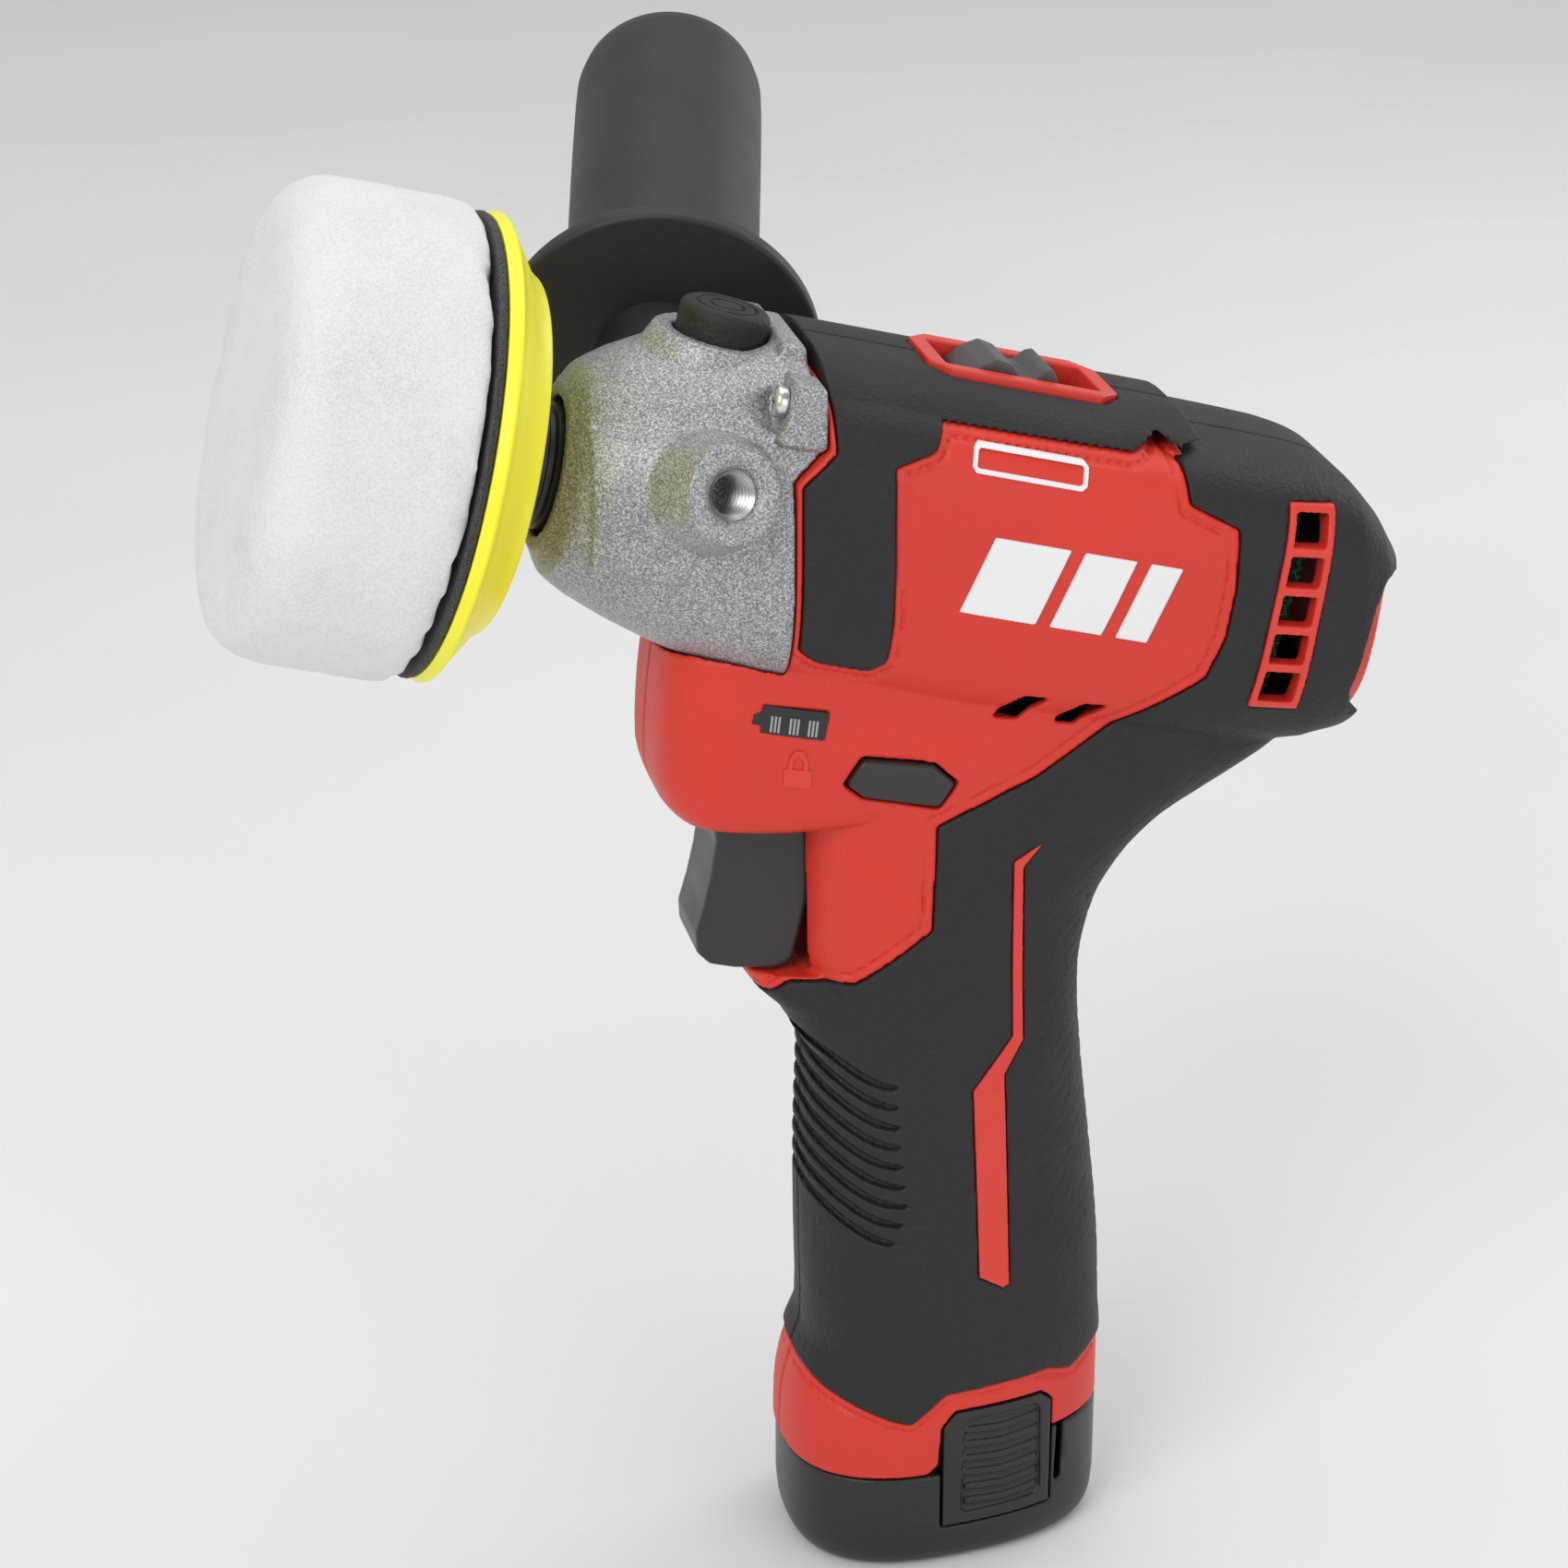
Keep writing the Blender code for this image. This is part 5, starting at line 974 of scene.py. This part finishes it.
def lathe_ring(name, profile, place, steps=72):
    """A turned ring: the profile is closed and doesn't touch the axis."""
    bm = bmesh.new()
    rings = [[bm.verts.new((r * math.cos(2 * math.pi * i / steps) * MM, r * math.sin(2 * math.pi * i / steps) * MM, z * MM))
              for i in range(steps)] for r, z in profile]
    for first, second in zip(rings, rings[1:] + rings[:1]):
        for i in range(steps):
            j = (i + 1) % steps
            bm.faces.new((first[i], first[j], second[j], second[i]))
    mesh = mesh_of(bm, name)
    mesh.transform(place)
    mesh.shade_smooth()
    mesh.set_sharp_from_angle(angle=math.radians(40))
    return new_object(name, mesh)


def cross_screw(name, place, look, body, node, head_radius=2.6, head_height=2.1, shank=5.0):
    """A pan-head screw with a cross recess; local z points out of the hole, 0 under the head."""
    profile = [(0, -shank), (1.3, -shank), (1.35, 0), (head_radius, 0)]
    profile += arc((head_radius - 0.9, head_height - 0.9), 0.9, 0, 80, 6)
    profile += [(0, head_height + 0.1)]
    screw = lathe(name, profile, 48, place)
    for a, b in ((1.7, 0.33), (0.33, 1.7)):
        cut(screw, box("recess", (-a, -b, head_height - 1.1), (a, b, head_height + 2), place))
    remesh(screw, 0.14, 2)
    finish_piece(screw, name, look, body, node)


def make_small_parts():
    for side, word in ((-1, "left"), (1, "right")):
        place = ALONG @ Matrix.Translation(Vector((-22.6, 20.3 * side, 11.7)) * MM) @ Matrix.Rotation(math.pi, 4, "X")
        cross_screw("lug_screw_" + word, place, "steel", "housing", "head_screw_" + word)
    for i, (x, z, y) in enumerate(HOUSING_SCREWS):
        place = Matrix.Translation(Vector((x, y, z)) * MM) @ Matrix.Rotation(-math.pi / 2, 4, "X")
        cross_screw("case_screw_%d" % (i + 1), place, "dark_steel", "housing", "housing_screw_%d" % (i + 1), 2.5, 2.1, 0.3)

    upright = BARREL @ Matrix.Translation(Vector((4.6, 0, 0)) * MM)
    profile = [(0, 29.6), (6.1, 29.6), (6.1, 25.4), (7.4, 25.4), (7.4, 29.2)] + arc((6.0, 29.9), 1.4, 0, 90, 6)
    profile += [(5.2, 31.3), (5.0, 30.95), (4.7, 30.95), (4.5, 31.3), (3.1, 31.35), (2.9, 31.0), (2.6, 31.0),
                (2.4, 31.35), (0, 31.4)]
    button = lathe("button", profile, 96, upright)
    finish_piece(button, "lock_button_cap", "rubber", "lock_button", "spindle_lock_button")

    slider = box("slider", (38.3, -7.0, 24.0), (68.1, 7.0, 25.6), BARREL)
    thumb = [(43.5, 25.0), (44.2, 28.2), (46.4, 30.6), (49.0, 32.1), (51.8, 31.6), (53.6, 30.0), (55.6, 29.8), (57.2, 31.6),
             (58.6, 32.2), (60.0, 30.6), (60.6, 27.6), (60.9, 25.0)]
    cut(slider, extruded("thumb", thumb, -6.2, 6.2, BARREL @ SIDEWAYS), "UNION")
    for i in range(3):
        x = 62.6 + i * 1.7
        cut(slider, box("rib", (x, -6.0, 25.2), (x + 0.8, 6.0, 26.5), BARREL), "UNION")
    cut(slider, [box("post", (41.5, -3, 22.5), (44.5, 3, 24.5), BARREL), box("fork", (20, -4, 22.0), (44.5, 4, 23.1), BARREL)],
        "UNION")
    remesh(slider, 0.3, 4)
    finish_piece(slider, "speed_slider", "grey", "selector", "speed_selector")

    lever = prism("lever", TRIGGER_OUTLINE, -8.2, 8.2)
    bevelled(lever, 2.0)
    cut(lever, box("stem", (-30, -4, 126.5), (-19, 4, 133.5)), "UNION")
    remesh(lever, 0.35, 6)
    finish_piece(lever, "trigger_lever", "dark_grey", "trigger", "trigger")

    edge = BLOCK_HALF_WIDTH + 0.9
    slide = bevelled(prism("slide", LOCK_OFF_OUTLINE, -edge, edge), 0.9)
    remesh(slide, 0.3, 3)
    finish_piece(slide, "lock_off_slide", "dark_grey", "lock_off", "lock_off_button")

    panel = on_skin("gauge", GAUGE_OUTLINE, -1, 0.15, 0.9, 0.15, 2)
    finish_piece(panel, "gauge_panel", "black", "housing", "battery_gauge")
    bars = []
    for i in range(3):
        for k in range(3):
            x = -35.0 + i * 3.1 + k * 0.62
            z = 163.75 - i * 0.63 - k * 0.12
            bars.append(prism("bar", [(x, z), (x + 0.34, z - 0.07), (x + 0.62, z + 2.75), (x + 0.28, z + 2.85)], -FAR / 2, -6.0))
    marks = joined("bars", bars)
    cut(marks, housing_form("bars_top", 0.24), "INTERSECT")
    cut(marks, housing_form("bars_floor", -0.2))
    finish_piece(marks, "gauge_bars", "pale_print", "housing")

    body = on_skin("lock_body", [(-32.7, 153.6), (-32.5, 157.0), (-27.8, 156.1), (-27.9, 152.6)], -1, 0.28, 0.4, 0.16, 2)
    finish_piece(body, "lock_icon_body", "red_smooth", "housing")
    shackle = prism("shackle", [(-31.9, 156.6), (-31.6, 158.8), (-30.6, 160.0), (-29.4, 159.7), (-28.6, 158.2), (-28.6, 156.0),
                                (-29.3, 156.1), (-29.3, 157.9), (-29.9, 158.9), (-30.5, 159.0), (-31.0, 158.2), (-31.2, 156.5)],
                    -FAR / 2, -6.0)
    cut(shackle, housing_form("shackle_top", 0.28), "INTERSECT")
    cut(shackle, housing_form("shackle_floor", -0.4))
    finish_piece(shackle, "lock_icon_shackle", "red_smooth", "housing")

    for side, word in ((-1, "left"), (1, "right")):
        stripes = []
        for i, (start, width) in enumerate(((46.5, 13.0), (62.0, 9.0), (73.5, 5.5))):
            lean = 2.6
            outline = [(start, -4.4), (start + width, -4.4), (start + width + lean, 8.8), (start + lean, 8.8)]
            stripes.append(extruded("stripe", outline, *sorted((-side * 6.0, -side * 60.0)), BARREL @ SIDEWAYS))
        emblem = joined("stripes", stripes)
        cut(emblem, housing_form("emblem_top", 0.4), "INTERSECT")
        cut(emblem, housing_form("emblem_floor", -0.4))
        remesh(emblem, 0.22, 2)
        finish_piece(emblem, "emblem_" + word, "white", "housing")
        plate = [(43.5, 18.3), (61.5, 18.3), (62.3, 19.1), (62.3, 21.9), (61.5, 22.7), (43.5, 22.7), (42.7, 21.9), (42.7, 19.1)]
        badge = extruded("badge", plate, *sorted((-side * 6.0, -side * 60.0)), BARREL @ SIDEWAYS)
        cut(badge, extruded("inside", grown(plate, -0.75), -60, 60, BARREL @ SIDEWAYS))
        cut(badge, housing_form("badge_top", 0.35), "INTERSECT")
        cut(badge, housing_form("badge_floor", -0.4))
        remesh(badge, 0.16, 2)
        finish_piece(badge, "badge_frame_" + word, "white", "housing")


# ------------------------------------------------------------------ pad, hub and side handle
def make_pad():
    offset = 1.5
    profile = [(0, -29.5), (8.7, -29.5), (8.7, -25.2), (13.0, -25.2), (13.6, -25.6), (14.6, -25.6), (15.2, -25.2), (27.9, -25.2)]
    profile += arc((28.2, -26.4), 1.2, 85, 20, 4)
    profile += [(30.6, -27.6), (33.0, -29.2), (35.4, -30.9), (37.2, -32.2)]
    profile += arc((37.2, -33.0), 0.8, 60, -60, 5)
    profile += [(37.4, -34.6), (0, -34.6)]
    plate = lathe("plate", profile, 160, ALONG, offset)
    finish_piece(plate, "plate_disc", "yellow", "pad", "backing_plate")

    layer = lathe("hook", [(0, -34.9), (30, -34.9), (37.1, -34.9), (37.5, -35.2), (37.6, -35.6), (37.4, -35.9), (37.0, -36.1), (30, -36.1), (0, -36.1)],
                  320, ALONG, offset)
    inverse = ALONG.inverted()
    for vert in layer.data.vertices:
        local = inverse @ vert.co / MM
        radius = math.hypot(local.x, local.y - offset)
        if radius > 35:
            wobble = noise(Vector((local.x, local.y, local.z * 2)) * 1.7) * 0.34
            local.x *= 1 + wobble / radius
            local.y = offset + (local.y - offset) * (1 + wobble / radius)
            vert.co = ALONG @ (local * MM)
    finish_piece(layer, "hook_disc", "hook", "pad", "hook_and_loop_layer")

    back, front, radius = -36.5, -67.9, 38.7
    profile = [(0, back), (radius - 1.6, back)] + arc((radius - 1.4, back - 1.2), 1.2, 80, 0, 4)
    profile += [(radius + 0.1, back - 6), (radius + 0.1, back - 14)]
    profile += arc((radius - 8.6, front + 8.6), 8.6, 0, -90, 10)
    profile += [(0, front)]
    pad = lathe("foam", profile, 96, ALONG, offset)
    start = [v.co.copy() for v in remesh(pad, 1.7, 1).data.vertices]
    inflate(pad, start, 1.2)
    smooth = pad.modifiers.new("Subdivision", "SUBSURF")
    smooth.levels = smooth.render_levels = 1
    evaluate(pad)
    low, high = (back - 0.02) * MM, -68.3 * MM
    for vert in pad.data.vertices:
        point = vert.co / MM
        swell = 0.16 * noise(point * 0.22) + 0.07 * noise(point * 0.9)
        local = inverse @ (vert.co + vert.normal * swell * MM)
        local.z = max(high, min(low, local.z))
        vert.co = ALONG @ local
    pad.data.shade_smooth()
    finish_piece(pad, "foam_disc", "foam", "pad", "foam_pad")

    profile = [(0, -18.0), (7.0, -18.0), (7.0, -24.6), (9.2, -24.6)] + arc((9.4, -23.6), 1.0, -90, 0, 4)
    profile += [(10.4, -20.6), (9.7, -20.2), (9.7, -19.4), (10.4, -19.0), (10.4, -16.4), (10.0, -16.0), (0, -16.0)]
    hub = lathe("hub", profile, 96)
    finish_piece(hub, "hub_body", "black", "spindle", "eccentric_hub")


def inflate(obj, start, most):
    """Lets the skin swell as cloth under a little pressure; no point may move further than most, in mm."""
    cloth = obj.modifiers.new("Cloth", "CLOTH")
    settings = cloth.settings
    settings.use_pressure = True
    settings.uniform_pressure_force = 4.0
    settings.effector_weights.gravity = 0.0
    settings.quality = 6
    settings.mass = 0.3
    settings.tension_stiffness = settings.compression_stiffness = 15.0
    settings.shear_stiffness = 5.0
    settings.bending_stiffness = 0.5
    cloth.point_cache.frame_start, cloth.point_cache.frame_end = 1, 20
    scene = bpy.context.scene
    for step in range(1, 21):
        scene.frame_set(step)
    evaluate(obj)
    for vert, before in zip(obj.data.vertices, start):
        move = vert.co - before
        if move.length > most * MM:
            vert.co = before + move.normalized() * most * MM
    scene.frame_set(1)


def make_side_handle():
    place = boss_matrix(1)
    start, radius, end = 16.4, 17.2, 137.6
    profile = [(0, 52.0), (4.0, 52.0), (4.0, 32.4), (9.0, 32.4), (11.0, 38.6), (26.4, 38.6)]
    profile += arc((26.6, 39.5), 0.9, -90, 0, 4) + arc((26.4, 41.4), 1.1, 0, 90, 5)
    profile += [(24.0, 42.4), (23.6, 42.1), (22.8, 42.1), (22.4, 42.5), (19.4, 42.6), (17.8, 43.0), (16.8, 44.0), (start, 46.0)]
    for i in range(1, 12):
        t = i / 12
        profile.append((start + (radius - start) * math.sin(t * math.pi / 2), 46.0 + (end - 60.0) * t))
    profile += [(radius, end - 14.0), (radius - 0.1, end - 8.0), (radius - 0.7, end - 4.6),
                (radius - 2.3, end - 2.0), (radius - 4.6, end - 0.6), (radius - 7.5, end - 0.1), (0, end)]
    handle = lathe("handle", profile, 160, place)
    finish_piece(handle, "handle_grip", "handle", "side_handle", "side_handle")


# ------------------------------------------------------------------ battery
def make_battery():
    case = loft("case", [battery_ring(z, inset) for z, inset in (
        (0, 3.6), (0.4, 2.6), (1.4, 1.4), (2.8, 0.7), (4.5, 0.3), (8.0, 0.0), (32.0, 0.0))])
    cut(case, prism("case_region", CASE_REGION), "INTERSECT")
    cut(case, loft("room", [battery_ring(z, inset) for z, inset in ((2.2, 4.2), (6.0, 2.4), (40.0, 2.4))]))
    slots = [prism("slot", [(17.9, 11.8), (19.2, 11.6), (19.6, 26.0), (18.4, 26.0)], *sorted((s * 12.0, s * 40.0)))
             for s in (-1, 1)]
    cut(case, slots)
    remesh(case, 0.42, 4, 0.5, 0.6)
    finish_piece(case, "battery_shell", "black", "battery", "battery_case")
    for side, word in ((-1, "left"), (1, "right")):
        latch = prism("latch", LATCH_REGION, *sorted((side * 10.0, side * 40.0)))
        cut(latch, loft("skin", [battery_ring(z, 0.0) for z in (6, 34)]), "INTERSECT")
        cut(latch, loft("core", [battery_ring(z, 2.2) for z in (4, 36)]))
        panel = [(-0.6, 11.2), (-0.2, 28.6), (1.0, 29.6), (13.4, 29.6), (14.6, 28.4), (15.0, 11.8), (13.6, 10.6), (0.6, 10.4)]
        recess = prism("recess", panel, *sorted((side * 10.0, side * 40.0)))
        cut(recess, loft("recess_floor", [battery_ring(z, 0.7) for z in (2, 40)]))
        cut(latch, recess)
        for i in range(6):
            z = 12.2 + i * 2.9
            rib = prism("rib", [(0.2, z), (7.0, z - 0.6), (14.0, z), (14.0, z + 1.3), (7.0, z + 0.7), (0.2, z + 1.3)],
                        *sorted((side * 10.0, side * 40.0)))
            cut(rib, loft("rib_top", [battery_ring(k, 0.05) for k in (6, 34)]), "INTERSECT")
            cut(rib, loft("rib_back", [battery_ring(k, 1.4) for k in (4, 36)]))
            cut(latch, rib, "UNION")
        remesh(latch, 0.24, 3)
        finish_piece(latch, "latch_pad_" + word, "black", "latch_" + word, "battery_latch_" + word)


# ------------------------------------------------------------------ the CAD pieces that stay
LOOKS = {
    "board": ["controller_board"], "copper": ["motor_windings", "battery_contacts"], "wrap": ["battery_cells"],
    "plain_silver": ["bearing_plate", "motor_front_plate"],
    "dark_steel": ["lock_disk", "ring_gear", "motor_stator", "motor_rotor"],
    "black": ["battery_tower", "motor_rear_plate", "speed_collar", "trigger_switch"],
    "grey": ["terminal_block", "cooling_fan"],
}


def dress_nodes():
    for name, obj in NODES.items():
        look = next((key for key, names in LOOKS.items() if name in names), "plain_steel")
        obj.data.materials.clear()
        obj.data.materials.append(M[look])


place_camera()
light_studio()
floor = box("floor", (-3000, -3000, -12), (3000, 3000, 0))
floor_look = Nodes("pale_floor")
floor.data.materials.append(floor_look.done(
    floor_look.ramp(floor_look.noise(0.004, 2.0), [(0.3, (0.84, 0.84, 0.84)), (0.7, (0.88, 0.88, 0.88))]),
    floor_look.spread(floor_look.noise(0.01), 0.55, 0.65)))

make_housing()
make_gear_head()
make_small_parts()
make_pad()
make_side_handle()
make_battery()
dress_nodes()

bpy.context.view_layer.update()
